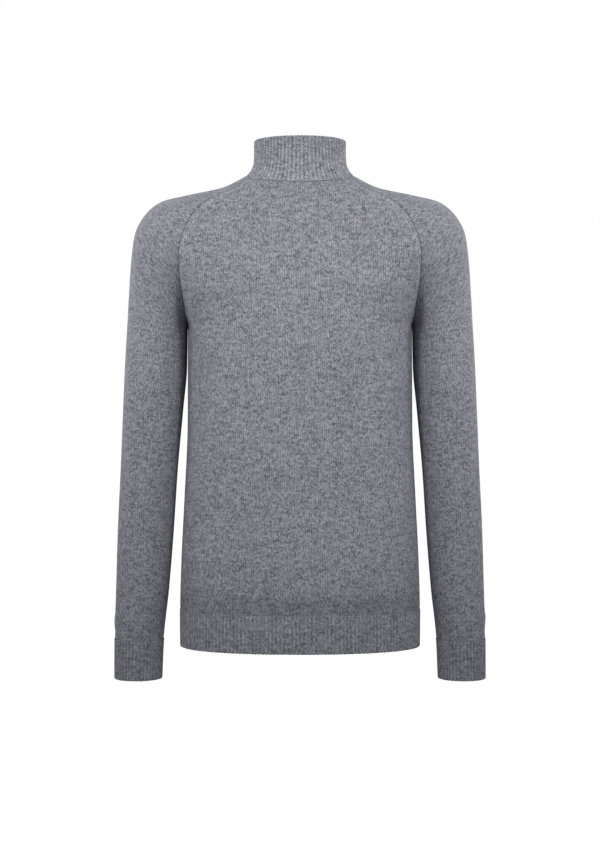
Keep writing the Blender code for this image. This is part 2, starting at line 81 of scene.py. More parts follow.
TAPE_OUTER = 0.0160
TAPE_WALL = 0.0008
TAPE_DEPTH = KNIT_WALL + 0.0005
CHAIN_WALL = 0.0024
CHAIN_DEPTH = TAPE_DEPTH + TAPE_WALL / 2 - CHAIN_WALL / 2
ZIP_END = 0.0020
BOX_HEIGHT = 0.0070
SLIDER_CENTRE = COLLAR_TOP_FRONT - 0.0125
SLIDER_HALF_HEIGHT = 0.0055
SLIDER_HALF_WIDTH = 0.0042
PLATE_THICKNESS = 0.0011
PLATE_CLEARANCE = 0.0003
POST_SIZE = 0.0022
POST_RISE = 0.0034
BRIDGE_HALF_WIDTH = 0.0008
BRIDGE_BAR = 0.0009
BRIDGE_OPENING = 0.0020
PIVOT_STAND_OFF = 0.0010
TAB_THICKNESS = 0.0012
TAB_GRIP_EXTRA = 0.0008
TAB_HALF_WIDTH = 0.0031
TAB_LENGTH = 0.0260
TAB_HOLE_HALF_WIDTH = 0.0013
TAB_HOLE_END = 0.0040
TAB_SQUARENESS = 0.4
TAB_HOLE_SQUARENESS = 0.5

# ---- sizes of the knit and its relief ----
WALE = 0.0029
COURSE = 0.0021
BAND_WALES = 3.5
WALE_COLUMNS = 4
FINE_COLUMNS = 18
BAND_RIDGE = 0.0007
SHELL_WALL = 0.0018
SIDE_GROOVE = 0.0006
END_GROOVE = 0.0006
GROOVE_WIDTH = 0.0012
CREASE_MARGIN = 0.012
FASHION_PITCH = 4 * COURSE
FASHION_RISE = 0.0004
# Painted light on the wales beside each raglan seam, as a share of their colour.
BAND_PAINTED_LIGHT = 0.16
# Painted shade along the raglan seams, strongest near the neck.
SEAM_SHADE = 0.60
SEAM_SHADE_LOW = 0.35
SEAM_SHADE_STEPS = (4.0, 6.0)
SEAM_SHADE_WIDTH = 0.0010
# Painted shade in a band above the hem band.
HEM_SHADE = 0.17
HEM_SHADE_ABOVE = 0.008
HEM_SHADE_WIDTH = 0.024
EDGE_DROP = 0.0009
EDGE_ROUND = 0.0022
TOPSTITCH_INSET = 0.0065
TOPSTITCH_DEPTH = 0.0005
TOPSTITCH_WIDTH = 0.0010
TORSO_ROWS = 90
YOKE_ROWS = 90
SLEEVE_ROWS = 100
BACK_COLUMNS = 84
FRONT_COLUMNS = 44
SLEEVE_COLUMNS = 62
RIB_COLUMNS = 8
RIB_WALL = 0.0016
RIB_SINK = 0.0006
RIB_ROUNDNESS = 0.7
RIB_UNEVENNESS = 0.18
RIB_SWAY = 0.06
INNER_RIBS = 0.3
ROLL_STEPS = 8
COLLAR_HEIGHT = 0.070
COLLAR_ROWS, COLLAR_SEED = 22, 3
BAND_ROWS = 12
HEM_SEED = 5
CUFF_SEEDS = (7, 11)

# ---- sizes of the zip's fine parts and of the stitches ----
TOOTH_PITCH = 0.0024
TOOTH_HEAD = -0.0007
TOOTH_LEG = 0.0030
TOOTH_HEAD_SIZE = (0.00095, 0.00048)
TOOTH_LEG_SIZE = (0.00110, 0.00074)
CHAIN_SAMPLES = 300
FINE_ROUND = 0.0002
PLATE_ROUND = 0.0003
PLATE_SQUARENESS = 0.45
PLATE_TAPER = 0.0009
FLANGE_WALL = 0.0007
FLANGE_DEPTH = 0.0008
FLANGE_HEIGHT = SLIDER_HALF_HEIGHT * 1.3
FLANGE_SINK = 0.0001
BRIDGE_SINK = 0.0003
TAB_ROUND = 0.0003
GRIP_BARS = 5
GRIP_BAR_SIZE = (0.0040, 0.0006, 0.0007)
GRIP_BAR_FIRST = 0.0034
GRIP_BAR_PITCH = 0.0019
LOOP_POINTS = 48
TAPE_EDGE = 0.0028
TAPE_CORD_AT = 0.0034
TAPE_CORD_RISE = 0.0003
TAPE_CORD_WIDTH = 0.0006
TAPE_COLUMNS = 22
TAPE_ROWS = 130
SHELL_OF_TAPE = 0.0006
STITCH_PITCH = 0.0029
STITCH = (0.0021, 0.0009, 0.0008)
FINE_STITCH = (0.0022, 0.0006, 0.0005)
COLLAR_STITCH_LEAN = 0.8
STITCHES_CLEAR_OF_ZIP = slice(8, -8)


def table(names, rows):
    """A table's columns by name."""
    return dict(zip(names.split(), np.array(rows, dtype=float).T))


SIDE = table("height half_width squareness", (
    (-0.624, 0.1624, 1.12),
    (-0.574, 0.1628, 1.12),
    (-0.508, 0.1611, 1.10),
    (-0.426, 0.1571, 1.09),
    (-0.324, 0.1526, 1.12),
    (-0.250, 0.1522, 1.18),
    (-0.190, 0.1520, 1.26)))
CENTRE_BACK = table("height reach", (
    (-0.624, 0.1060),
    (-0.574, 0.1055),
    (-0.508, 0.1020),
    (-0.426, 0.0985),
    (-0.324, 0.1020),
    (-0.250, 0.1090),
    (-0.190, 0.1130),
    (-0.143, 0.1125),
    (-0.095, 0.1065),
    (-0.048, 0.0945),
    (-0.024, 0.0850),
    (-0.0027, 0.0745)))
CENTRE_FRONT = table("height reach", (
    (-0.624, 0.1070),
    (-0.574, 0.1068),
    (-0.508, 0.1045),
    (-0.426, 0.1035),
    (-0.324, 0.1085),
    (-0.250, 0.1150),
    (-0.190, 0.1175),
    (-0.143, 0.1130),
    (-0.096, 0.0985),
    (-0.045, 0.0770)))
CREST = table("step x z", (
    (0, 0.2342, -0.1845),
    (1, 0.2323, -0.1500),
    (2, 0.2299, -0.1120),
    (3, 0.2245, -0.0680),
    (4, 0.2095, -0.0390),
    (5, 0.1870, -0.0217),
    (6, 0.1510, -0.0130),
    (7, 0.1060, -0.0035),
    (8, 0.0715, 0.0140)))
RAGLAN_SEAM = "step x z reach depth fold squareness lift"
RAGLAN = {
    BACK: table(RAGLAN_SEAM, (
        (0, 0.1520, -0.1900, 180, 0.0590, 1.00, 1.26, 1.00),
        (1, 0.1523, -0.1820, 160, 0.0620, 0.92, 1.24, 1.00),
        (2, 0.1545, -0.1600, 135, 0.0665, 0.80, 1.20, 1.00),
        (3, 0.1582, -0.1300, 112, 0.0760, 0.60, 1.14, 1.00),
        (4, 0.1592, -0.0990, 92, 0.0860, 0.34, 1.08, 1.00),
        (5, 0.1505, -0.0640, 75, 0.0885, 0.12, 1.03, 0.95),
        (6, 0.1285, -0.0315, 63, 0.0810, 0.00, 1.00, 0.85),
        (7, 0.0935, -0.0125, 60, 0.0660, 0.00, 1.00, 0.65),
        (8, 0.0650, 0.0055, 60, 0.0465, 0.00, 1.00, 0.30))),
    FRONT: table(RAGLAN_SEAM, (
        (0, 0.1520, -0.1900, 180, 0.0590, 1.00, 1.26, 1.00),
        (1, 0.1522, -0.1830, 160, 0.0620, 0.92, 1.24, 1.00),
        (2, 0.1532, -0.1640, 135, 0.0670, 0.80, 1.20, 1.00),
        (3, 0.1545, -0.1370, 112, 0.0760, 0.60, 1.14, 1.00),
        (4, 0.1525, -0.1090, 92, 0.0855, 0.34, 1.08, 1.00),
        (5, 0.1430, -0.0800, 77, 0.0865, 0.12, 1.03, 0.95),
        (6, 0.1220, -0.0520, 67, 0.0800, 0.00, 1.00, 0.90),
        (7, 0.0900, -0.0300, 62, 0.0680, 0.00, 1.00, 0.80),
        (8, 0.0590, -0.0080, 60, 0.0535, 0.00, 1.00, 0.70)))}
SLEEVE = table("height inner outer half_depth forward", (
    (-0.190, 0.1526, 0.2342, 0.0590, 0.000),
    (-0.243, 0.1534, 0.2374, 0.0560, 0.000),
    (-0.304, 0.1590, 0.2404, 0.0520, 0.002),
    (-0.386, 0.1666, 0.2441, 0.0470, 0.005),
    (-0.467, 0.1720, 0.2482, 0.0430, 0.007),
    (-0.549, 0.1788, 0.2509, 0.0400, 0.009),
    (-0.615, 0.1860, 0.2528, 0.0375, 0.010),
    (-0.669, 0.1884, 0.2530, 0.0360, 0.010)))
COLLAR = table("rise drawn_in", (
    (0.00, 0.00),
    (0.16, 0.56),
    (0.38, 0.93),
    (0.62, 1.00),
    (1.00, 1.00)))

# Soft creases, placed one by one. Across is the place along the row, from the back's middle, the front's
# opening or the sleeve's crest, and height is the garment's. Length and width are half sizes, the slope is in
# degrees
# from level, and rise is the relief: a trough where it is negative.
CREASES = "across height length width slope rise"
BACK_CREASES = table(CREASES, (
    (0.168, -0.216, 0.040, 0.0095, 50, -0.0017),
    (-0.171, -0.210, 0.036, 0.0090, -45, -0.0015),
    (0.158, -0.256, 0.050, 0.0120, 62, -0.0012),
    (-0.156, -0.246, 0.046, 0.0110, -58, -0.0013),
    (0.030, -0.549, 0.110, 0.0110, 2, 0.0010),
    (-0.080, -0.546, 0.090, 0.0100, -3, 0.0011),
    (0.130, -0.551, 0.060, 0.0090, 4, 0.0008),
    (-0.010, -0.567, 0.150, 0.0070, 0, -0.0009),
    (0.060, -0.415, 0.070, 0.0180, 12, -0.0008),
    (-0.075, -0.395, 0.080, 0.0170, -9, -0.0009),
    (0.010, -0.372, 0.060, 0.0150, 4, 0.0005)))
FRONT_CREASES = {
    "left": table(CREASES, (
        (0.166, -0.215, 0.042, 0.0095, 50, -0.0017),
        (0.154, -0.258, 0.048, 0.0115, 61, -0.0012),
        (0.070, -0.548, 0.100, 0.0110, 3, 0.0011),
        (0.090, -0.567, 0.100, 0.0070, 0, -0.0008),
        (0.080, -0.405, 0.075, 0.0170, 14, -0.0010),
        (0.060, -0.345, 0.060, 0.0150, 8, 0.0006))),
    "right": table(CREASES, (
        (0.170, -0.209, 0.038, 0.0090, 46, -0.0015),
        (0.150, -0.268, 0.052, 0.0120, 65, -0.0011),
        (0.085, -0.550, 0.085, 0.0100, -2, 0.0010),
        (0.065, -0.566, 0.110, 0.0070, 1, -0.0009),
        (0.095, -0.420, 0.070, 0.0180, 10, -0.0011),
        (0.050, -0.360, 0.055, 0.0140, 5, 0.0006)))}
SLEEVE_CREASES = {
    "left": table(CREASES, (
        (0.085, -0.232, 0.028, 0.0080, 26, -0.0013),
        (-0.088, -0.226, 0.032, 0.0085, -28, -0.0015),
        (-0.068, -0.352, 0.036, 0.0100, 14, -0.0014),
        (-0.062, -0.381, 0.034, 0.0085, -9, -0.0012),
        (0.064, -0.367, 0.032, 0.0100, -12, -0.0010),
        (0.020, -0.590, 0.050, 0.0080, 6, 0.0009),
        (-0.050, -0.583, 0.036, 0.0075, -5, 0.0010),
        (0.010, -0.606, 0.090, 0.0050, 0, -0.0007))),
    "right": table(CREASES, (
        (0.082, -0.240, 0.032, 0.0085, 29, -0.0014),
        (-0.085, -0.231, 0.028, 0.0080, -24, -0.0013),
        (-0.066, -0.338, 0.034, 0.0090, 10, -0.0012),
        (-0.069, -0.371, 0.038, 0.0100, -13, -0.0015),
        (0.060, -0.359, 0.036, 0.0105, -8, -0.0011),
        (0.030, -0.587, 0.042, 0.0075, -4, 0.0010),
        (-0.042, -0.592, 0.044, 0.0080, 7, 0.0008),
        (0.000, -0.606, 0.090, 0.0050, 0, -0.0007)))}


# ---- curves ----
def between_ends(t, start, leaving, end, arriving):
    """The cubic curve from start to end that has given slopes there."""
    return (start * (1 + 2 * t) * (1 - t) ** 2 + leaving * t * (1 - t) ** 2
            + end * t * t * (3 - 2 * t) + arriving * t * t * (t - 1))


def smooth(xs, ys, at):
    """A smooth curve through a table's points that never overshoots between them."""
    order = np.argsort(xs)
    xs, ys = xs[order], ys[order]
    steps = np.diff(xs)
    slopes = np.diff(ys) / steps
    bends = slopes[1:] * slopes[:-1]
    inner = np.where(bends > 0, 2 * bends / np.where(bends > 0, slopes[1:] + slopes[:-1], 1), 0)
    tangents = np.concatenate(([slopes[0]], inner, [slopes[-1]]))
    at = np.clip(at, xs[0], xs[-1])
    i = np.clip(np.searchsorted(xs, at) - 1, 0, len(steps) - 1)
    t = (at - xs[i]) / steps[i]
    return between_ends(t, ys[i], tangents[i] * steps[i], ys[i + 1], tangents[i + 1] * steps[i])


def read(columns, name, at):
    """One named column of a table, read along the table's first column."""
    key = next(iter(columns))
    return smooth(columns[key], columns[name], at)


def sweep(start, leaving, end, arriving, squareness):
    """A round curve from start to end with given directions at both ends."""
    chord = end - start
    turn = 1 - float(np.dot(leaving, arriving))
    spread = (1 + QUARTER_ROUND * turn) * (1 + (squareness - 1) * turn)
    outward = leaving * abs(np.dot(chord, leaving)) * spread
    inward = arriving * abs(np.dot(chord, arriving)) * spread
    t = np.linspace(0, 1, CURVE_SAMPLES)[:, None]
    return between_ends(t, start, outward, end, inward)


def lengths(points):
    """How far along a line of points each of them is."""
    steps = np.linalg.norm(np.diff(points, axis=0), axis=1)
    return np.concatenate(([0], np.cumsum(steps)))


def pick(points, at, along=None):
    """Points read from a line at given places, measured along it or by another rising value."""
    along = lengths(points) if along is None else along
    return np.stack([np.interp(at, along, points[:, axis]) for axis in range(3)], axis=1)


def unit(vectors):
    return vectors / np.linalg.norm(vectors, axis=-1, keepdims=True)


def facing_of(lines):
    """The directions out of the cloth on lines that rise and run anticlockwise."""
    return unit(np.cross(np.gradient(lines, axis=1), np.gradient(lines, axis=0)))


def fade(value, start, end):
    """Rises softly from 0 at start to 1 at end."""
    t = np.clip((value - start) / (end - start), 0, 1)
    return t * t * (3 - 2 * t)


def soft_rise(distance, width):
    """A soft rise of height 1 round a distance of 0."""
    return np.exp(-(distance / width) ** 2)


# ---- the garment's form: rows from the hem to the neck ----
# A row below the underarm is named by its height above the underarm, a negative number. A row in the yoke is
# named by its step, from 0 to 8.
def sleeve_section(row, face):
    """Centre, outward arm, half depth and reach of the sleeve's ellipse, for its back or its front."""
    if row < 0:
        height = UNDERARM_HEIGHT + row
        tilt = SLEEVE_TILT * (1 - row / (CUFF_TOP - UNDERARM_HEIGHT))
        inner = np.array([read(SLEEVE, "inner", height), 0, height])
        outer = np.array([read(SLEEVE, "outer", height), 0, height + max(tilt, 0)])
        forward = np.array([0, -read(SLEEVE, "forward", height), 0])
        return (inner + outer) / 2 + forward, (outer - inner) / 2, read(SLEEVE, "half_depth", height), math.pi
    seam = RAGLAN[face]
    reach = math.radians(read(seam, "reach", row))
    near = np.array([read(seam, "x", row), 0, read(seam, "z", row)])
    crest = np.array([read(CREST, "x", row), 0, read(CREST, "z", row)])
    centre = (near - crest * math.cos(reach)) / (1 - math.cos(reach))
    return centre, crest - centre, read(seam, "depth", row), reach


def sleeve_row(row, face):
    """The sleeve's half row from its seam to its crest, on the back or on the front."""
    centre, arm, depth, reach = sleeve_section(row, face)
    angle = np.linspace(reach, 0, CURVE_SAMPLES)[:, None]
    return centre + arm * np.cos(angle) + np.array([0, face * depth, 0]) * np.sin(angle)


def body_row(row, face):
    """The body's half row from its centre line to its side or raglan seam."""
    centre_table = CENTRE_BACK if face == BACK else CENTRE_FRONT
    if row < 0:
        height = UNDERARM_HEIGHT + row
        seam = np.array([read(SIDE, "half_width", height), 0, height])
        arriving = np.array([0, -face, 0])
        squareness = read(SIDE, "squareness", height)
    else:
        neck = BACK_NECK_HEIGHT if face == BACK else FRONT_NECK_HEIGHT
        height = UNDERARM_HEIGHT + (neck - UNDERARM_HEIGHT) * row / YOKE_STEPS
        centre, arm, depth, reach = sleeve_section(row, face)
        sideways = np.array([0, face * depth, 0])
        seam = centre + arm * math.cos(reach) + sideways * math.sin(reach)
        onward = unit(arm * math.sin(reach) - sideways * math.cos(reach))
        fold = read(RAGLAN[face], "fold", row)
        onward[2] *= read(RAGLAN[face], "lift", row)
        arriving = unit(onward * (1 - fold) + np.array([0, -face, 0]) * fold)
        squareness = read(RAGLAN[face], "squareness", row)
    middle = np.array([0, face * read(centre_table, "reach", height), height])
    return sweep(middle, np.array([1.0, 0, 0]), seam, arriving, squareness)


def rows_from(bottom, count):
    """The names of a panel's rows, from its bottom edge to the underarm and on to the neck."""
    below = np.linspace(bottom - UNDERARM_HEIGHT, 0, count + 1)[:-1]
    return np.concatenate((below, np.linspace(0, YOKE_STEPS, YOKE_ROWS + 1)))


def sleeve_ring(row):
    """A sleeve's whole row, from its front seam over the crest to its back seam."""
    return np.concatenate((sleeve_row(row, FRONT), sleeve_row(row, BACK)[::-1][1:]))


def collar_ring(rise):
    """The collar's left half at one height, from centre front to centre back, before its ribs."""
    neck = np.concatenate((body_row(YOKE_STEPS, FRONT), sleeve_ring(YOKE_STEPS)[1:],
                           body_row(YOKE_STEPS, BACK)[::-1][1:]))
    share = lengths(neck) / lengths(neck)[-1]
    angle = np.linspace(0, math.pi, 2 * CURVE_SAMPLES)
    neck = pick(neck, angle / math.pi, share)
    in_front = angle < math.pi / 2
    reach = np.where(in_front, COLLAR_FRONT, COLLAR_BACK)
    end_height = np.where(in_front, COLLAR_TOP_FRONT, COLLAR_TOP_BACK)
    lean = np.abs(np.cos(angle))
    slope = lean * (COLLAR_EVENNESS + (1 - COLLAR_EVENNESS) * lean)
    height = COLLAR_TOP_SIDE + (end_height - COLLAR_TOP_SIDE) * slope
    standing = np.stack((COLLAR_HALF_WIDTH * np.sin(angle), -reach * np.cos(angle), height), axis=1)
    drawn_in = read(COLLAR, "drawn_in", rise)
    return neck + (standing - neck) * np.array([drawn_in, drawn_in, rise])


def collar_share(height):
    """How far up the collar's front a height is, from 0 at the neck seam to 1 at the top."""
    return (height - FRONT_NECK_HEIGHT) / (COLLAR_TOP_FRONT - FRONT_NECK_HEIGHT)


def hem_ring(fall):
    """The hem's left half, from centre front to centre back, at a share of the way down from its seam."""
    row = HEM_TOP + (HEM_BOTTOM - HEM_TOP) * fall - UNDERARM_HEIGHT
    return np.concatenate((body_row(row, FRONT), body_row(row, BACK)[::-1][1:]))


def cuff_ring(fall):
    """The left cuff's ring, at a share of the way down from its seam."""
    return sleeve_ring(CUFF_TOP + (CUFF_BOTTOM - CUFF_TOP) * fall - UNDERARM_HEIGHT)


def round_the_body(half):
    """A left half from centre front to centre back, and on round the right to centre front."""
    return np.concatenate((half, (half * [-1, 1, 1])[::-1][1:]))


# ---- panels as grids: rows rise, and columns run anticlockwise seen from above ----
def cloth_grid(points, across, up, **more):
    """Points with their places on the cloth, with no painted light or shade and no band beside a seam."""
    shape = points.shape[:2]
    return SimpleNamespace(
        points=points, across=np.broadcast_to(across, shape), up=np.broadcast_to(up, shape),
        shade=np.ones(shape), in_band=np.zeros(shape, bool), band=np.zeros(shape + (2,)), **more)


def column_places(begin, end, middle_columns):
    """Places along a row: fine steps beside both edges, and even ones between."""
    fine = WALE / WALE_COLUMNS * np.arange(FINE_COLUMNS + 1)
    even = np.linspace(begin + fine[-1], end - fine[-1], middle_columns + 1)[1:-1]
    return np.concatenate((begin + fine, even, end - fine[::-1]))


def panel(curves, middles, middle_columns, begin=0.0):
    """A grid on the lines of its rows. Middles are the places along the rows where across is 0."""
    curves = np.array(curves)
    points, facing, across, first, last, centre = [], [], [], [], [], []
    for curve, direction, middle in zip(curves, facing_of(curves), middles):
        along = lengths(curve)
        at = column_places(begin, along[-1], middle_columns)
        points.append(pick(curve, at, along))
        facing.append(pick(direction, at, along))
        across.append(at - middle)
        first.append(at - begin)
        last.append(along[-1] - at)
        centre.append(pick(curve, [middle], along)[0])
    centre = np.array(centre)
    low = lengths(centre)[:, None]
    return cloth_grid(np.array(points), across, low, facing=unit(np.array(facing)), first=np.array(first),
                      last=np.array(last), low=low, high=low[-1] - low, centre_height=centre[:, 2:])


def body_panel(curves, middles, middle_columns, begin=0.0):
    """A panel of the body, with level courses, and painted shade above the hem band, where the cloth turns in.
    """
    grid = panel(curves, middles, middle_columns, begin)
    height = grid.points[..., 2]
    grid.up = grid.up + height - grid.centre_height
    # Painted shade in a band above the hem band.
    grid.shade = 1 - HEM_SHADE * soft_rise(height - (HEM_TOP + HEM_SHADE_ABOVE), HEM_SHADE_WIDTH)
    return grid


def creased(grid, creases):
    """The relief of the creases at each point of a grid, softened toward its side edges."""
    relief = np.zeros(grid.across.shape)
    for across, height, length, width, slope, rise in zip(*creases.values()):
        turn = math.radians(slope)
        x, z = grid.across - across, grid.points[..., 2] - height
        along = x * math.cos(turn) + z * math.sin(turn)
        over = z * math.cos(turn) - x * math.sin(turn)
        relief += rise * np.exp(-(along / length) ** 4) * soft_rise(over, width)
    return relief * fade(np.minimum(grid.first, grid.last), 0, CREASE_MARGIN)


def seamed(grid, *sides):
    """The grooves that seams draw along a panel's side edges, and along its two ends."""
    relief = sum(-SIDE_GROOVE * soft_rise(distance, GROOVE_WIDTH) for distance in sides)
    return relief - END_GROOVE * (soft_rise(grid.low, GROOVE_WIDTH) + soft_rise(grid.high, GROOVE_WIDTH))


def shade_seam(grid, rows, distance):
    """Paints shade on the cloth beside a raglan seam, most where the seam nears the neck."""
    near_neck = fade(rows, *SEAM_SHADE_STEPS)
    strength = SEAM_SHADE * fade(rows, 0, 1) * (SEAM_SHADE_LOW + (1 - SEAM_SHADE_LOW) * near_neck)
    grid.shade = grid.shade * (1 - strength[:, None] * soft_rise(distance, SEAM_SHADE_WIDTH))


def fashioned(grid, rows, distance, edge):
    """The relief of the wales that run beside a raglan seam, with a mark at each decrease beside them. It also
    paints light on these wales and shade along the seam.
    """
    amount = np.broadcast_to(fade(rows, 0.5, 1.5)[:, None], distance.shape)
    along = np.broadcast_to(lengths(grid.points[:, edge])[:, None], distance.shape)
    width = BAND_WALES * WALE
    nearness = 1 - fade(distance, width - WALE / 2, width)
    ridges = (0.5 - 0.5 * np.cos(2 * math.pi * distance / WALE)) * nearness
    pulse = (0.5 + 0.5 * np.cos(2 * math.pi * along / FASHION_PITCH)) ** 3
    marks = soft_rise(distance - width - WALE / 4, WALE / 2) * pulse
    inside = (distance < width) & (amount > 0.5)
    grid.in_band |= inside
    grid.band = np.where(inside[..., None], np.stack((distance, along), axis=-1), grid.band)
    # Painted light on the band of wales beside the seam.
    grid.shade = grid.shade * (1 + amount * (BAND_PAINTED_LIGHT * nearness))
    shade_seam(grid, rows, distance)
    return amount * (BAND_RIDGE * ridges + FASHION_RISE * marks)


def raised(grid, relief):
    grid.points = grid.points + grid.facing * relief[..., None]
    return grid


def back_panel():
    rows = rows_from(HEM_TOP, TORSO_ROWS)
    halves = [body_row(row, BACK) for row in rows]
    curves = [np.concatenate((half[::-1], (half * [-1, 1, 1])[1:])) for half in halves]
    grid = body_panel(curves, [lengths(half)[-1] for half in halves], BACK_COLUMNS)
    relief = creased(grid, BACK_CREASES) + seamed(grid, grid.first, grid.last)
    relief += fashioned(grid, rows, grid.first, 0) + fashioned(grid, rows, grid.last, -1)
    return raised(grid, relief)


def left_front_panel(creases):
    rows = rows_from(HEM_TOP, TORSO_ROWS)
    grid = body_panel([body_row(row, FRONT) for row in rows], np.zeros(len(rows)), FRONT_COLUMNS, FRONT_EDGE)
    relief = creased(grid, creases) + seamed(grid, grid.last)
    relief += fashioned(grid, rows, grid.last, -1)
    relief -= EDGE_DROP * (1 - fade(grid.first, 0, EDGE_ROUND))
    relief -= TOPSTITCH_DEPTH * soft_rise(grid.first - TOPSTITCH_INSET, TOPSTITCH_WIDTH)
    return raised(grid, relief)


def left_sleeve_panel(creases):
    """A sleeve, closed below the underarm by the seam at its inner edge."""
    rows = rows_from(CUFF_TOP, SLEEVE_ROWS)
    crests = [lengths(sleeve_row(row, FRONT))[-1] for row in rows]
    grid = panel([sleeve_ring(row) for row in rows], crests, SLEEVE_COLUMNS)
    closed = rows <= 0
    grid.facing[closed, 0] = unit(grid.facing[closed, 0] + grid.facing[closed, -1])
    grid.facing[closed, -1] = grid.facing[closed, 0]
    relief = creased(grid, creases) + seamed(grid, grid.first, grid.last)
    # Painted shade along both raglan seams.
    shade_seam(grid, rows, grid.first)
    shade_seam(grid, rows, grid.last)
    return raised(grid, relief)


def on_side(grid, side):
    """A left grid as it is, or the same on the wearer's right."""
    if side == "right":
        for name in ("points", "facing"):
            setattr(grid, name, (getattr(grid, name) * [-1, 1, 1])[:, ::-1])
        for name in ("across", "up", "first", "shade", "in_band", "band"):
            setattr(grid, name, getattr(grid, name)[:, ::-1])
    return grid


# ---- ribbed bands: a section goes up the outside, over the free edge and back down the inside ----
def ribbed_band(ring, height, ribs, open_at, rows, seed):
    """The grid of a band whose rings run from its seam, at 0, to its free edge, at 1."""
    radius = RIB_WALL / 2
    shoulder = 1 - radius / height
    curves = np.array([ring(level) for level in np.linspace(0, 1, rows + 1)])
    rising = curves[-1, 0, 2] > curves[0, 0, 2]
    directions = facing_of(curves) if rising else -facing_of(curves)
    places = np.linspace(0, ribs, ribs * RIB_COLUMNS + 1)
    points, facing = [], []
    for curve, direction in zip(curves, directions):
        along = lengths(curve)
        at = open_at + (along[-1] - 2 * open_at) * places / ribs
        points.append(pick(curve, at, along))
        facing.append(pick(direction, at, along))
    points, facing = np.array(points), unit(np.array(facing))
    if not open_at:
        facing[:, 0] = facing[:, -1] = unit(facing[:, 0] + facing[:, -1])
    onward = unit(np.gradient(points, axis=0))

    chance = np.random.default_rng(seed)
    strength = 1 + RIB_UNEVENNESS * (chance.random(ribs)[places.astype(int) % ribs] - 0.5)
    wander = RIB_SWAY * (2 * chance.random(ribs + 1) - 1)
    wander[[0, -1]] = 0
    sway = np.interp(places, np.arange(ribs + 1), wander)
    section = [(level, 0.0) for level in np.linspace(0, shoulder, rows + 1)]
    section += [(shoulder, turn) for turn in np.linspace(0, math.pi, ROLL_STEPS)[1:-1]]
    section += [(level, math.pi) for level in np.linspace(shoulder, 0, rows // 2 + 1)]
    rings, up = [], []
    for level, turn in section:
        low = min(int(level * rows), rows - 1)
        share = level * rows - low
        point, out, on = (part[low] * (1 - share) + part[low + 1] * share for part in (points, facing, onward))
        inside = (1 - math.cos(turn)) / 2
        ridge = np.abs(np.sin(math.pi * (places + sway * math.sin(math.pi * level)))) ** RIB_ROUNDNESS
        relief = RIB_HEIGHT * (1 - (1 - INNER_RIBS) * inside) * strength * ridge
        heading = out * math.cos(turn) + on * math.sin(turn)
        rings.append(point - out * (radius + RIB_SINK) + heading * (radius + relief[:, None]))
        up.append(level * height if turn < math.pi else (2 * shoulder - level) * height)
    rings.append(rings[0])
    up.append(up[-1] + RIB_WALL)
    return cloth_grid(np.array(rings), (2 * places + 0.5) * WALE, np.array(up)[:, None])


# ---- finishes ----
class Finish:
    """A material, with short calls for the steps of its pattern."""

    def __init__(self, name, sockets):
        self.material = bpy.data.materials.new(name)
        self.material.use_nodes = True
        self.tree = self.material.node_tree
        self.surface = self.tree.nodes["Principled BSDF"]
        for socket, value in sockets.items():
            self.surface.inputs[socket].default_value = value

    def step(self, kind, inputs, output=0, **settings):
        node = self.tree.nodes.new(kind)
        for setting, value in settings.items():
            setattr(node, setting, value)
        for socket, value in inputs.items():
            if isinstance(value, bpy.types.NodeSocket):
                self.tree.links.new(value, node.inputs[socket])
            else:
                node.inputs[socket].default_value = value
        return node.outputs[output]

    def math(self, operation, *values):
        return self.step("ShaderNodeMath", dict(enumerate(values)), operation=operation)

    def times(self, value, factor):
        return self.math("MULTIPLY", value, factor)

    def join(self, x, y):
        return self.step("ShaderNodeCombineXYZ", {"X": x, "Y": y})

    def on_object(self):
        return self.step("ShaderNodeTexCoord", {}, output="Object")

    def noise(self, vector, scale=1.0, detail=2.0, roughness=0.5):
        inputs = {"Vector": vector, "Scale": scale, "Detail": detail, "Roughness": roughness}
        return self.step("ShaderNodeTexNoise", inputs)

    def wave(self, place):
        """A round wave from 0, at whole numbers, to 1 halfway between them."""
        return self.math("ABSOLUTE", self.math("SINE", self.times(place, math.pi)))

    def spread(self, value, low, high, out_low=0.0, out_high=1.0):
        inputs = {"Value": value, "From Min": low, "From Max": high, "To Min": out_low, "To Max": out_high}
        return self.step("ShaderNodeMapRange", inputs)

    def between(self, share, dark, light):
        inputs = {0: share, 6: (*dark, 1), 7: (*light, 1)}
        return self.step("ShaderNodeMix", inputs, output=2, data_type="RGBA")

    def paint(self, colour, height, strength, distance):
        self.tree.links.new(colour, self.surface.inputs["Base Color"])
        normal = self.step("ShaderNodeBump", {"Height": height, "Strength": strength, "Distance": distance})
        self.tree.links.new(normal, self.surface.inputs["Normal"])
        return self.material


CLOTH_SOCKETS = {"Roughness": 0.93, "Specular IOR Level": 0.18, "Sheen Weight": 0.10, "Sheen Roughness": 0.5,
                 "Sheen Tint": (0.80, 0.80, 0.88, 1)}
LEG_SLANT = 1.6
WALE_WANDER = 1.6
WANDER_SPAN = (5.0, 8.0)
DARK_YARN = (0.130, 0.128, 0.147)
LIGHT_YARN = (0.470, 0.467, 0.526)
# Painted shade between the knit's loops, as a share of their colour.
PAINTED_CAVITY_SHADE = 0.50
LOOP_CONTRAST = 0.55
FLECK_CONTRAST = 1.15
FLECK_FINENESS = (1.9, 2.6)
YARN_CONTRASTS = ((1.2, 1.55), (4.5, 1.25))
ROW_STEP = 3.7
DARK_THREAD = ((0.06, 0.06, 0.07), (0.20, 0.20, 0.225))
GREY_THREAD = ((0.25, 0.25, 0.28), (0.46, 0.46, 0.50))


def cloth_places(finish):
    """The place on the cloth, counted in wales and in courses."""
    place = finish.step("ShaderNodeUVMap", {}, uv_map="knit")
    split = finish.step("ShaderNodeSeparateXYZ", {0: place}).node
    wales = finish.math("DIVIDE", split.outputs[0], WALE)
    courses = finish.math("DIVIDE", split.outputs[1], COURSE)
    return wales, courses


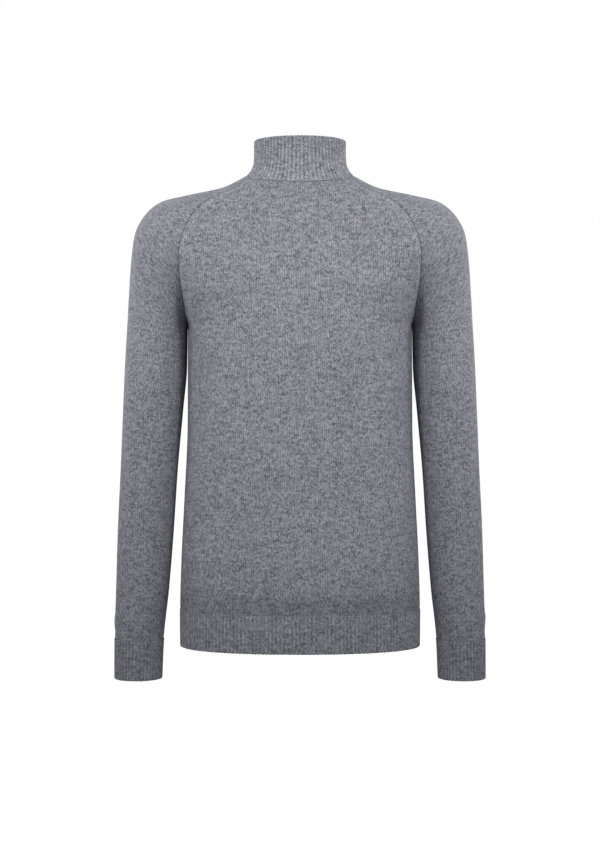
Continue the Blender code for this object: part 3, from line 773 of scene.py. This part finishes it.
def stockinette(finish, wales, courses):
    """Rows of V stitches: their height, from 0 to 1 on the legs, and each leg's number and row."""
    beside = finish.math("ABSOLUTE", finish.math("SUBTRACT", finish.math("FRACT", wales), 0.5))
    slant = finish.math("SUBTRACT", courses, finish.times(beside, LEG_SLANT))
    legs = finish.spread(finish.wave(finish.times(beside, 2.0)), 0.0, 0.7, 0.6, 1.0)
    height = finish.times(legs, finish.math("MULTIPLY_ADD", finish.wave(slant), 0.5, 0.5))
    height = finish.times(height, finish.math("POWER", finish.wave(wales), 0.6))
    return height, finish.math("FLOOR", finish.times(wales, 2.0)), finish.math("FLOOR", slant)


def wandering_stockinette(finish, wales, courses):
    """V stitches whose wales run a little unevenly, as in plain knit."""
    spans = [finish.math("DIVIDE", place, span) for place, span in zip((wales, courses), WANDER_SPAN)]
    wander = finish.noise(finish.join(*spans))
    return stockinette(finish, finish.math("MULTIPLY_ADD", wander, WALE_WANDER, wales), courses)


def purl(finish, wales, courses):
    """Rows of purl loops, each half a loop along from the last: height, loop number and row."""
    row = finish.math("FLOOR", courses)
    shifted = finish.math("MULTIPLY_ADD", row, 0.5, wales)
    return finish.times(finish.wave(shifted), finish.wave(courses)), finish.math("FLOOR", shifted), row


def melange(finish, wales, courses, loop, row):
    """How light the mixed yarn is, from 0 to 1: by the loop, in flecks and along each row. Its flecks too."""
    specks = [finish.times(place, fineness) for place, fineness in zip((wales, courses), FLECK_FINENESS)]
    flecks = finish.noise(finish.join(*specks), detail=3.0, roughness=0.62)
    loops = finish.step("ShaderNodeTexWhiteNoise", {"Vector": finish.join(loop, row)}, noise_dimensions="2D")
    light = finish.math("MULTIPLY_ADD", flecks, FLECK_CONTRAST, finish.times(loops, LOOP_CONTRAST))
    contrasts = LOOP_CONTRAST + FLECK_CONTRAST
    for stretch, contrast in YARN_CONTRASTS:
        along = finish.math("DIVIDE", wales, stretch)
        yarn = finish.noise(finish.join(along, finish.math("MULTIPLY_ADD", row, ROW_STEP, stretch)))
        light = finish.math("MULTIPLY_ADD", yarn, contrast, light)
        contrasts += contrast
    return finish.spread(light, contrasts / 2 - 0.5, contrasts / 2 + 0.5), flecks


def knitted(name, stitches, lightness=1.0, painted_valley_shade=1.0):
    """Melange knit: the yarn's colour, with painted shade between its loops and in a rib's valleys where it has
    ribs, times each point's painted light and shade.
    """
    finish = Finish(name, CLOTH_SOCKETS)
    wales, courses = cloth_places(finish)
    height, loop, row = stitches(finish, wales, courses)
    light, flecks = melange(finish, wales, courses, loop, row)
    # Painted shade between the loops, times each point's painted light and shade.
    tone_and_painted_shade = finish.spread(height, 0.0, 1.0, lightness * (1 - PAINTED_CAVITY_SHADE), lightness)
    shade = finish.step("ShaderNodeAttribute", {}, output="Fac", attribute_name="shade")
    tone_and_painted_shade = finish.times(tone_and_painted_shade, shade)
    # Painted shade in the valleys between the ribs.
    if painted_valley_shade < 1:
        ridge = finish.wave(finish.math("DIVIDE", finish.math("SUBTRACT", wales, 0.5), 2.0))
        tone_and_painted_shade = finish.times(tone_and_painted_shade, finish.spread(ridge, 0.0, 0.8, painted_valley_shade, 1.0))
    yarn = finish.between(light, DARK_YARN, LIGHT_YARN)
    colour = finish.step("ShaderNodeVectorMath", {0: yarn, "Scale": tone_and_painted_shade}, operation="SCALE")
    relief = finish.math("MULTIPLY_ADD", flecks, 0.35, height)
    return finish.paint(colour, relief, strength=0.5, distance=0.0006)


def woven_tape():
    """Dark zip tape in a fine twill."""
    finish = Finish("dark_woven_tape", {"Roughness": 0.85, "Specular IOR Level": 0.25, "Sheen Weight": 0.08})
    wales, courses = cloth_places(finish)
    twill = finish.wave(finish.math("ADD", finish.times(wales, 4.0), finish.times(courses, 3.0)))
    flecks = finish.noise(finish.join(finish.times(wales, 9.0), finish.times(courses, 9.0)))
    colour = finish.between(finish.times(twill, flecks), (0.050, 0.050, 0.058), (0.150, 0.150, 0.168))
    return finish.paint(colour, twill, strength=0.5, distance=0.0003)


def sewing_thread(name, colours):
    finish = Finish(name, {"Roughness": 0.8, "Specular IOR Level": 0.3})
    twist = finish.noise(finish.on_object(), scale=1500.0)
    return finish.paint(finish.between(twist, *colours), twist, strength=0.4, distance=0.0002)


def dark_nickel():
    """Plated metal, a little worn: brighter and duller in patches, with fine scratches."""
    finish = Finish("dark_nickel_plate", {"Metallic": 1.0})
    patches = finish.noise(finish.on_object(), scale=260.0, detail=3.0, roughness=0.6)
    lines = finish.step("ShaderNodeMapping", {"Vector": finish.on_object(), "Scale": (1.0, 1.0, 0.12)})
    scratches = finish.noise(lines, scale=4200.0)
    dullness = finish.spread(patches, 0.3, 0.7, 0.24, 0.42)
    finish.tree.links.new(dullness, finish.surface.inputs["Roughness"])
    colour = finish.between(patches, (0.235, 0.235, 0.250), (0.400, 0.400, 0.420))
    return finish.paint(colour, scratches, strength=0.15, distance=0.0001)


# ---- pieces ----
def add_object(name, data):
    thing = bpy.data.objects.new(name, data)
    bpy.context.scene.collection.objects.link(thing)
    return thing


def add_piece(name, bm, finishes, body=BODY, stands_for=(), sharp_angle=50):
    mesh = bpy.data.meshes.new(name)
    bm.to_mesh(mesh)
    bm.free()
    mesh.shade_smooth()
    mesh.set_sharp_from_angle(angle=math.radians(sharp_angle))
    for finish in finishes:
        mesh.materials.append(finish)
    piece = add_object(name, mesh)
    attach(piece, body)
    if stands_for:
        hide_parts(*stands_for)


def grid_mesh(grid):
    """A sheet of quads over a grid. Its places are a UV map, where bands beside seams are their own islands."""
    rows, columns = grid.across.shape
    bm = bmesh.new()
    bmesh.ops.create_grid(bm, x_segments=columns - 1, y_segments=rows - 1, size=1)
    # Each point carries its painted light and shade, which the knit's colour reads.
    shade = bm.verts.layers.float.new("shade")
    for vert, point, share in zip(bm.verts, grid.points.reshape(-1, 3), grid.shade.ravel()):
        vert.co = point
        vert[shade] = share
    bm.verts.index_update()
    knit = bm.loops.layers.uv.new("knit")
    plain = np.stack((grid.across, grid.up), axis=-1)
    for face in bm.faces:
        corners = [divmod(loop.vert.index, columns) for loop in face.loops]
        in_band = all(grid.in_band[corner] for corner in corners)
        places = grid.band if in_band else plain
        for loop, corner in zip(face.loops, corners):
            loop[knit].uv = places[corner]
    return bm


def cloth_shell(name, grid, finishes, stands_for, wall=SHELL_WALL):
    """A closed wall behind a grid, with the last finish on its inside."""
    bm = grid_mesh(grid)
    number = bm.verts.layers.int.new("number")
    for index, vert in enumerate(bm.verts):
        vert[number] = index
    bmesh.ops.remove_doubles(bm, verts=bm.verts[:], dist=1e-6)
    outer = set(bm.verts)
    bmesh.ops.solidify(bm, geom=bm.faces[:], thickness=wall)
    inside = (grid.points - grid.facing * wall).reshape(-1, 3)
    for vert in bm.verts:
        if vert not in outer:
            vert.co = inside[vert[number]]
    for face in bm.faces:
        if not any(vert in outer for vert in face.verts):
            face.material_index = len(finishes) - 1
    add_piece(name, bm, finishes, stands_for=[stands_for])


def rolled_band(name, grid, finish, stands_for):
    """A closed band from its section's grid, with its two ends filled where it is open."""
    bm = grid_mesh(grid)
    bmesh.ops.remove_doubles(bm, verts=bm.verts[:], dist=1e-6)
    ends = [edge for edge in bm.edges if edge.is_boundary]
    bmesh.ops.holes_fill(bm, edges=ends, sides=0)
    bmesh.ops.recalc_face_normals(bm, faces=bm.faces[:])
    add_piece(name, bm, [finish], stands_for=[stands_for], sharp_angle=75)


def rounded_edges(bm, edges, radius, segments=2):
    bmesh.ops.bevel(bm, geom=edges, offset=radius, segments=segments, profile=0.5, affect="EDGES", material=-1)


def copies(pattern, matrices):
    """One mesh of a pattern's copies."""
    shape = bpy.data.meshes.new("pattern")
    pattern.to_mesh(shape)
    pattern.free()
    bm = bmesh.new()
    for matrix in matrices:
        count = len(bm.verts)
        bm.from_mesh(shape)
        bm.verts.ensure_lookup_table()
        bmesh.ops.transform(bm, matrix=matrix, verts=bm.verts[count:])
    bpy.data.meshes.remove(shape)
    bmesh.ops.recalc_face_normals(bm, faces=bm.faces[:])
    return bm


def axes_at(place, along, outward):
    """The matrix of a place, with X along a line, Z out of the cloth and Y across the line."""
    along = Vector(along).normalized()
    across = Vector(outward).cross(along).normalized()
    matrix = Matrix((along, across, along.cross(across))).transposed().to_4x4()
    matrix.translation = Vector(place)
    return matrix


def stitch_row(name, line, outward, finish, size=STITCH):
    """Stitches in a row along a line, each a short round bead of thread."""
    along = lengths(line)
    count = int(along[-1] / STITCH_PITCH)
    at = (np.arange(count) + 0.5) * along[-1] / count
    places, heads, outs = (pick(values, at, along) for values in (line, np.gradient(line, axis=0), outward))
    bead = bmesh.new()
    bmesh.ops.create_uvsphere(bead, u_segments=6, v_segments=6, radius=0.5)
    bmesh.ops.scale(bead, vec=size, verts=bead.verts[:])
    bm = copies(bead, [axes_at(*place) for place in zip(places, heads, outs)])
    add_piece(name, bm, [finish])


def ring_outward(ring, lean=0.0):
    """Directions out of a level seam, leaning up by a share."""
    level = unit(np.cross(np.gradient(ring, axis=0), [0, 0, 1]))
    return unit(level + [0, 0, lean])


# ---- the knitted pieces ----
def panels(knit, knit_inside):
    """Back, fronts and sleeves. Returns the fronts' grids."""
    faces = [knit, knit_inside]
    cloth_shell("back_shell", back_panel(), faces, "back")
    fronts = {}
    for side, _ in SIDES:
        fronts[side] = on_side(left_front_panel(FRONT_CREASES[side]), side)
        sleeve = on_side(left_sleeve_panel(SLEEVE_CREASES[side]), side)
        cloth_shell(f"front_shell_{side}", fronts[side], faces, f"front_{side}")
        cloth_shell(f"sleeve_shell_{side}", sleeve, faces, f"sleeve_{side}")
    return fronts


def bands(collar_finish, rib):
    """Collar, hem band and cuffs."""
    collar = ribbed_band(lambda rise: round_the_body(collar_ring(rise)), COLLAR_HEIGHT, COLLAR_RIBS, FRONT_EDGE,
                         COLLAR_ROWS, COLLAR_SEED)
    rolled_band("collar_rib", collar, collar_finish, "collar")
    hem = ribbed_band(lambda fall: round_the_body(hem_ring(fall)), HEM_TOP - HEM_BOTTOM, HEM_RIBS, FRONT_EDGE,
                      BAND_ROWS, HEM_SEED)
    rolled_band("hem_rib", hem, rib, "hem_band")
    for (side, sign), seed in zip(SIDES, CUFF_SEEDS):
        cuff = ribbed_band(cuff_ring, CUFF_TOP - CUFF_BOTTOM, CUFF_RIBS, 0.0, BAND_ROWS, seed)
        cuff.points = cuff.points * [sign, 1, 1]
        rolled_band(f"cuff_rib_{side}", cuff, rib, f"cuff_{side}")


def seam_stitches(fronts, dark_thread, light_thread):
    """The linking stitches of the ribbed bands and the topstitching beside the zip."""
    collar = round_the_body(collar_ring(0))[STITCHES_CLEAR_OF_ZIP]
    stitch_row("collar_linking", collar, ring_outward(collar, COLLAR_STITCH_LEAN), dark_thread)
    hem = round_the_body(hem_ring(0))[STITCHES_CLEAR_OF_ZIP]
    stitch_row("hem_linking", hem, ring_outward(hem), light_thread)
    cuff = cuff_ring(0)
    for side, sign in SIDES:
        mirror = [sign, 1, 1]
        stitch_row(f"cuff_linking_{side}", cuff * mirror, ring_outward(cuff) * mirror, dark_thread)
        # Beside the opening, the points of every row are at the same distances from it.
        order = np.argsort(fronts[side].first[0])
        first = fronts[side].first[0, order]
        line, out = (np.array([pick(row[order], [TOPSTITCH_INSET], first)[0] for row in rows[1:-1]])
                     for rows in (fronts[side].points, fronts[side].facing))
        stitch_row(f"topstitch_{side}", line, out, light_thread, FINE_STITCH)


# ---- the zip ----
def centre_front(height):
    """Where the cloth's outer face is at centre front."""
    neck = -read(CENTRE_FRONT, "reach", FRONT_NECK_HEIGHT)
    in_collar = neck + (-COLLAR_FRONT - neck) * read(COLLAR, "drawn_in", collar_share(height))
    return np.where(height > FRONT_NECK_HEIGHT, in_collar, -read(CENTRE_FRONT, "reach", height))


def tooth():
    """One tooth of the wearer's left, from its head past the middle to its legs round the tape's cord."""
    bm = bmesh.new()
    bmesh.ops.create_cube(bm, size=2)
    for vert in bm.verts:
        at_head = vert.co.x < 0
        thick, tall = TOOTH_HEAD_SIZE if at_head else TOOTH_LEG_SIZE
        vert.co = (TOOTH_HEAD if at_head else TOOTH_LEG, vert.co.y * thick, vert.co.z * tall)
    rounded_edges(bm, bm.edges[:], FINE_ROUND, segments=1)
    return bm


def teeth(metal):
    """The chain's two rows of meshed teeth."""
    bottom = HEM_BOTTOM + ZIP_END + BOX_HEIGHT
    top = SLIDER_CENTRE + POST_RISE - POST_SIZE / 2
    heights = np.linspace(bottom, top, CHAIN_SAMPLES)
    line = np.stack((np.zeros_like(heights), centre_front(heights), heights), axis=1)
    rising = unit(np.gradient(line, axis=0))
    line = line - np.cross([1, 0, 0], rising) * (CHAIN_DEPTH + CHAIN_WALL / 2)
    along = lengths(line)
    half_pitch = TOOTH_PITCH / 2
    at = np.arange(half_pitch, along[-1] - half_pitch, half_pitch)
    matrices = []
    for index, (place, up) in enumerate(zip(pick(line, at, along), pick(rising, at, along))):
        turn = Matrix.Rotation(-math.atan2(up[1], up[2]), 4, "X")
        mirror = Matrix.Scale(1 if index % 2 else -1, 4, (1, 0, 0))
        matrices.append(Matrix.Translation(place) @ turn @ mirror)
    add_piece("zip_teeth", copies(tooth(), matrices), [metal], stands_for=["zip_chain"])


def tapes(tape):
    """The two tapes behind the front edges, each with a cord along its toothed edge."""
    curves = []
    for height in np.linspace(HEM_BOTTOM + ZIP_END, COLLAR_TOP_FRONT - ZIP_END, TAPE_ROWS + 1):
        if height <= FRONT_NECK_HEIGHT:
            row = height - UNDERARM_HEIGHT
            step = row / (FRONT_NECK_HEIGHT - UNDERARM_HEIGHT) * YOKE_STEPS
            curve = body_row(row if row < 0 else step, FRONT)
        else:
            curve = collar_ring(collar_share(height))
        curves.append(curve[:ZIP_SAMPLES])
    places = np.linspace(TAPE_EDGE, TAPE_OUTER, TAPE_COLUMNS + 1)
    points = np.array([pick(curve, places, curve[:, 0]) for curve in curves])
    facing = facing_of(points)
    cord = TAPE_CORD_RISE * soft_rise(places - TAPE_CORD_AT, TAPE_CORD_WIDTH)
    points = points - facing * (TAPE_DEPTH - cord)[:, None]
    up = lengths(points[:, 0])[:, None]
    for side, _ in SIDES:
        grid = on_side(cloth_grid(points, places, up, facing=facing, first=up), side)
        cloth_shell(f"tape_{side}", grid, [tape], f"zip_tape_{side}", wall=SHELL_OF_TAPE)


def rounded_loop(half_width, top, bottom, power, taper=0.0):
    """A rounded rectangle in the XZ plane. A power of 1 is an ellipse, and taper narrows its bottom."""
    angle = np.linspace(0, 2 * math.pi, LOOP_POINTS + 1)
    across, up = np.cos(angle), np.sin(angle)
    rise = np.sign(up) * np.abs(up) ** power
    x = (half_width + taper * (rise - 1) / 2) * np.sign(across) * np.abs(across) ** power
    return np.stack((x, np.zeros_like(x), (top + bottom) / 2 + (top - bottom) / 2 * rise), axis=1)


def closed_rings(rings):
    """A closed mesh from rings of points, the last ring the same as the first."""
    rings = np.array(rings)
    bm = bmesh.new()
    bmesh.ops.create_grid(bm, x_segments=rings.shape[1] - 1, y_segments=rings.shape[0] - 1, size=1)
    for vert, point in zip(bm.verts, rings.reshape(-1, 3)):
        vert.co = point
    bmesh.ops.remove_doubles(bm, verts=bm.verts[:], dist=1e-7)
    bmesh.ops.recalc_face_normals(bm, faces=bm.faces[:])
    return bm


def block(bm, centre, size):
    """A box with round edges, added to a mesh."""
    made = bmesh.ops.create_cube(bm, size=1, matrix=Matrix.LocRotScale(centre, None, size))
    rounded_edges(bm, list({edge for vert in made["verts"] for edge in vert.link_edges}), FINE_ROUND)


def plate(bm, front, back):
    """A slider's plate, wider at its top, with round edges."""
    outline = rounded_loop(SLIDER_HALF_WIDTH, SLIDER_HALF_HEIGHT, -SLIDER_HALF_HEIGHT, PLATE_SQUARENESS,
                           PLATE_TAPER)[:-1]
    made = bmesh.ops.create_circle(bm, cap_ends=True, segments=len(outline), radius=1)
    for vert, place in zip(made["verts"], outline):
        vert.co = (place[0], back, place[2] + SLIDER_CENTRE)
    face = made["verts"][0].link_faces[0]
    walls = bmesh.ops.extrude_face_region(bm, geom=[face], use_keep_orig=True)["geom"]
    moved = [part for part in walls if isinstance(part, bmesh.types.BMVert)]
    bmesh.ops.translate(bm, vec=(0, front - back, 0), verts=moved)
    rims = {edge for vert in made["verts"] + moved for edge in vert.link_edges}
    rims = [edge for edge in rims if abs(edge.verts[0].co.y - edge.verts[1].co.y) < 1e-6]
    rounded_edges(bm, rims, PLATE_ROUND)


def slider(metal):
    """Two plates with flanges round the chain, a post and the tab's bridge. Returns the tab's pivot."""
    front = float(centre_front(SLIDER_CENTRE))
    plate_back = front + CHAIN_DEPTH - PLATE_CLEARANCE
    plate_front = plate_back - PLATE_THICKNESS
    rear_front = front + CHAIN_DEPTH + CHAIN_WALL + PLATE_CLEARANCE
    rear_back = rear_front + PLATE_THICKNESS
    bm = bmesh.new()
    plate(bm, plate_front, plate_back)
    plate(bm, rear_front, rear_back)
    block(bm, (0, (plate_front + rear_back) / 2, SLIDER_CENTRE + POST_RISE),
          (POST_SIZE, rear_front - plate_front, POST_SIZE))
    reach = FLANGE_DEPTH / 2 - FLANGE_SINK
    for across in (SLIDER_HALF_WIDTH - FLANGE_WALL, FLANGE_WALL - SLIDER_HALF_WIDTH):
        for depth in (plate_back + reach, rear_front - reach):
            block(bm, (across, depth, SLIDER_CENTRE), (FLANGE_WALL, FLANGE_DEPTH, FLANGE_HEIGHT))

    middle = Vector((0, plate_front + BRIDGE_SINK, SLIDER_CENTRE))
    section = bmesh.ops.create_circle(bm, cap_ends=True, segments=12, radius=1)
    for vert in section["verts"]:
        across, over = vert.co.x, vert.co.y
        rise = BRIDGE_OPENING + BRIDGE_BAR / 2 * (1 + over)
        vert.co = middle + Vector((across * BRIDGE_HALF_WIDTH, 0, rise))
    bmesh.ops.spin(bm, geom=section["verts"][0].link_faces[:] + section["verts"], cent=middle, axis=(1, 0, 0),
                   angle=math.pi, steps=14, use_merge=False)
    bmesh.ops.recalc_face_normals(bm, faces=bm.faces[:])
    add_piece("slider_body", bm, [metal], stands_for=["zip_slider"], sharp_angle=40)
    return Vector((0, plate_front - PIVOT_STAND_OFF, SLIDER_CENTRE))


def grip_rise(height):
    """How much thicker the tab's grip is at a height below its pivot."""
    return np.clip((-TAB_HOLE_END - height) / (TAB_LENGTH / 2), 0, 1) * TAB_GRIP_EXTRA


def pull_tab(pivot, metal):
    """A flat tab that hangs from the bridge by its top bar, with raised bars across its thicker grip."""
    half = TAB_THICKNESS / 2
    turns = np.linspace(0, math.pi, 9)
    outline = (TAB_HALF_WIDTH, half, half - TAB_LENGTH, TAB_SQUARENESS)
    hole = (TAB_HOLE_HALF_WIDTH, -half, -TAB_HOLE_END, TAB_HOLE_SQUARENESS)
    rings = []
    for (half_width, top, bottom, squareness), growth, order in ((outline, -1, turns), (hole, 1, turns[::-1])):
        for turn in order:
            more = growth * TAB_ROUND * (1 - math.sin(turn))
            ring = rounded_loop(half_width + more, top + more, bottom - more, squareness)
            side = -math.cos(turn)
            grip = grip_rise(ring[:, 2]) if side < 0 else 0
            ring[:, 1] = np.sign(side) * (half - TAB_ROUND + TAB_ROUND * abs(side)) - grip
            rings.append(ring + np.array(pivot))
    add_piece("tab_body", closed_rings(rings + rings[:1]), [metal], body=TAB_BODY,
              stands_for=["zip_pull_tab"], sharp_angle=40)
    bars = bmesh.new()
    for index in range(GRIP_BARS):
        height = -TAB_LENGTH + GRIP_BAR_FIRST + index * GRIP_BAR_PITCH
        block(bars, pivot + Vector((0, -half - grip_rise(height), height)), GRIP_BAR_SIZE)
    bmesh.ops.recalc_face_normals(bars, faces=bars.faces[:])
    add_piece("tab_grip_bars", bars, [metal], body=TAB_BODY)


def kept_fittings(metal):
    """The stops and the bottom box keep their solids, in the zip's metal."""
    for name in ("zip_stop_left", "zip_stop_right", "zip_box"):
        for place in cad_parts[name].material_slots:
            place.material = metal


# ---- the studio ----
# Each light has a copy on every side of the garment: its place, the height it aims at, its size, the spread of
# its beam in degrees, and its power in watts.
LIGHTS = (
    ("soft_beam", (1.1, 1.5, 0.60), -0.22, 0.5, 34, 0.80),
    ("edge_beam", (1.9, 0.6, 0.50), -0.25, 0.5, 34, 0.38))
AMBIENT = 0.33
FLOOR_HEIGHT = -0.76
FLOOR_SIZE = 30
PAPER = {"Base Color": (0.55, 0.55, 0.55, 1), "Roughness": 1.0, "Specular IOR Level": 0.0,
         "Emission Color": (1, 1, 1, 1), "Emission Strength": 0.86}
CAMERA_PLACE = (0, 2.4, -0.323)
CAMERA_LENS = 74.93
CAMERA_FRAME = 36


def lights():
    """Soft light from the sides that fades toward the hem."""
    for name, (x, y, z), aim, size, spread, power in LIGHTS:
        places = sorted({(across * x, along * y, z) for across in (1, -1) for along in (1, -1)})
        for number, place in enumerate(places, 1):
            lamp = bpy.data.lights.new(f"{name}_{number}", "AREA")
            lamp.shape = "SQUARE"
            lamp.size = size
            lamp.energy = power
            lamp.spread = math.radians(spread)
            thing = add_object(lamp.name, lamp)
            thing.location = place
            thing.rotation_euler = (Vector((0, 0, aim)) - Vector(place)).to_track_quat("-Z", "Y").to_euler()


def surround():
    """A surround that the camera sees as white, and that lights the garment a little."""
    world = bpy.data.worlds.new("white_surround")
    bpy.context.scene.world = world
    world.use_nodes = True
    nodes, links = world.node_tree.nodes, world.node_tree.links
    seen, ambient = nodes["Background"], nodes.new("ShaderNodeBackground")
    for node, colour, strength in ((seen, (1, 1, 1, 1), 1.0), (ambient, (0.95, 0.96, 1.0, 1), AMBIENT)):
        node.inputs["Color"].default_value = colour
        node.inputs["Strength"].default_value = strength
    path = nodes.new("ShaderNodeLightPath")
    choice = nodes.new("ShaderNodeMixShader")
    links.new(path.outputs["Is Camera Ray"], choice.inputs[0])
    links.new(ambient.outputs[0], choice.inputs[1])
    links.new(seen.outputs[0], choice.inputs[2])
    links.new(choice.outputs[0], nodes["World Output"].inputs["Surface"])
    bpy.context.scene.view_settings.view_transform = "Standard"


def paper_floor():
    bm = bmesh.new()
    bmesh.ops.create_grid(bm, x_segments=1, y_segments=1, size=FLOOR_SIZE)
    bmesh.ops.translate(bm, vec=(0, 0, FLOOR_HEIGHT), verts=bm.verts[:])
    mesh = bpy.data.meshes.new("floor")
    bm.to_mesh(mesh)
    bm.free()
    mesh.materials.append(Finish("white_paper", PAPER).material)
    floor = add_object("floor", mesh)
    floor.visible_diffuse = False
    floor.visible_glossy = False


def camera():
    lens = bpy.data.cameras.new("camera")
    lens.sensor_fit = "VERTICAL"
    lens.sensor_width = CAMERA_FRAME
    lens.sensor_height = CAMERA_FRAME
    lens.lens = CAMERA_LENS
    eye = add_object("camera", lens)
    eye.location = CAMERA_PLACE
    eye.rotation_euler = (math.pi / 2, 0, math.pi)
    bpy.context.scene.camera = eye


def dress():
    camera()
    lights()
    surround()
    paper_floor()
    metal = dark_nickel()
    fronts = panels(knitted("grey_melange_jersey", wandering_stockinette),
                    knitted("grey_melange_purl_side", purl, lightness=0.9))
    # The ribs get painted shade in their valleys.
    bands(knitted("grey_melange_collar_rib", stockinette, lightness=1.30, painted_valley_shade=0.60),
          knitted("grey_melange_rib", stockinette, lightness=1.06, painted_valley_shade=0.76))
    seam_stitches(fronts, sewing_thread("dark_linking_thread", DARK_THREAD),
                  sewing_thread("grey_linking_thread", GREY_THREAD))
    tapes(woven_tape())
    teeth(metal)
    pull_tab(slider(metal), metal)
    kept_fittings(metal)


dress()
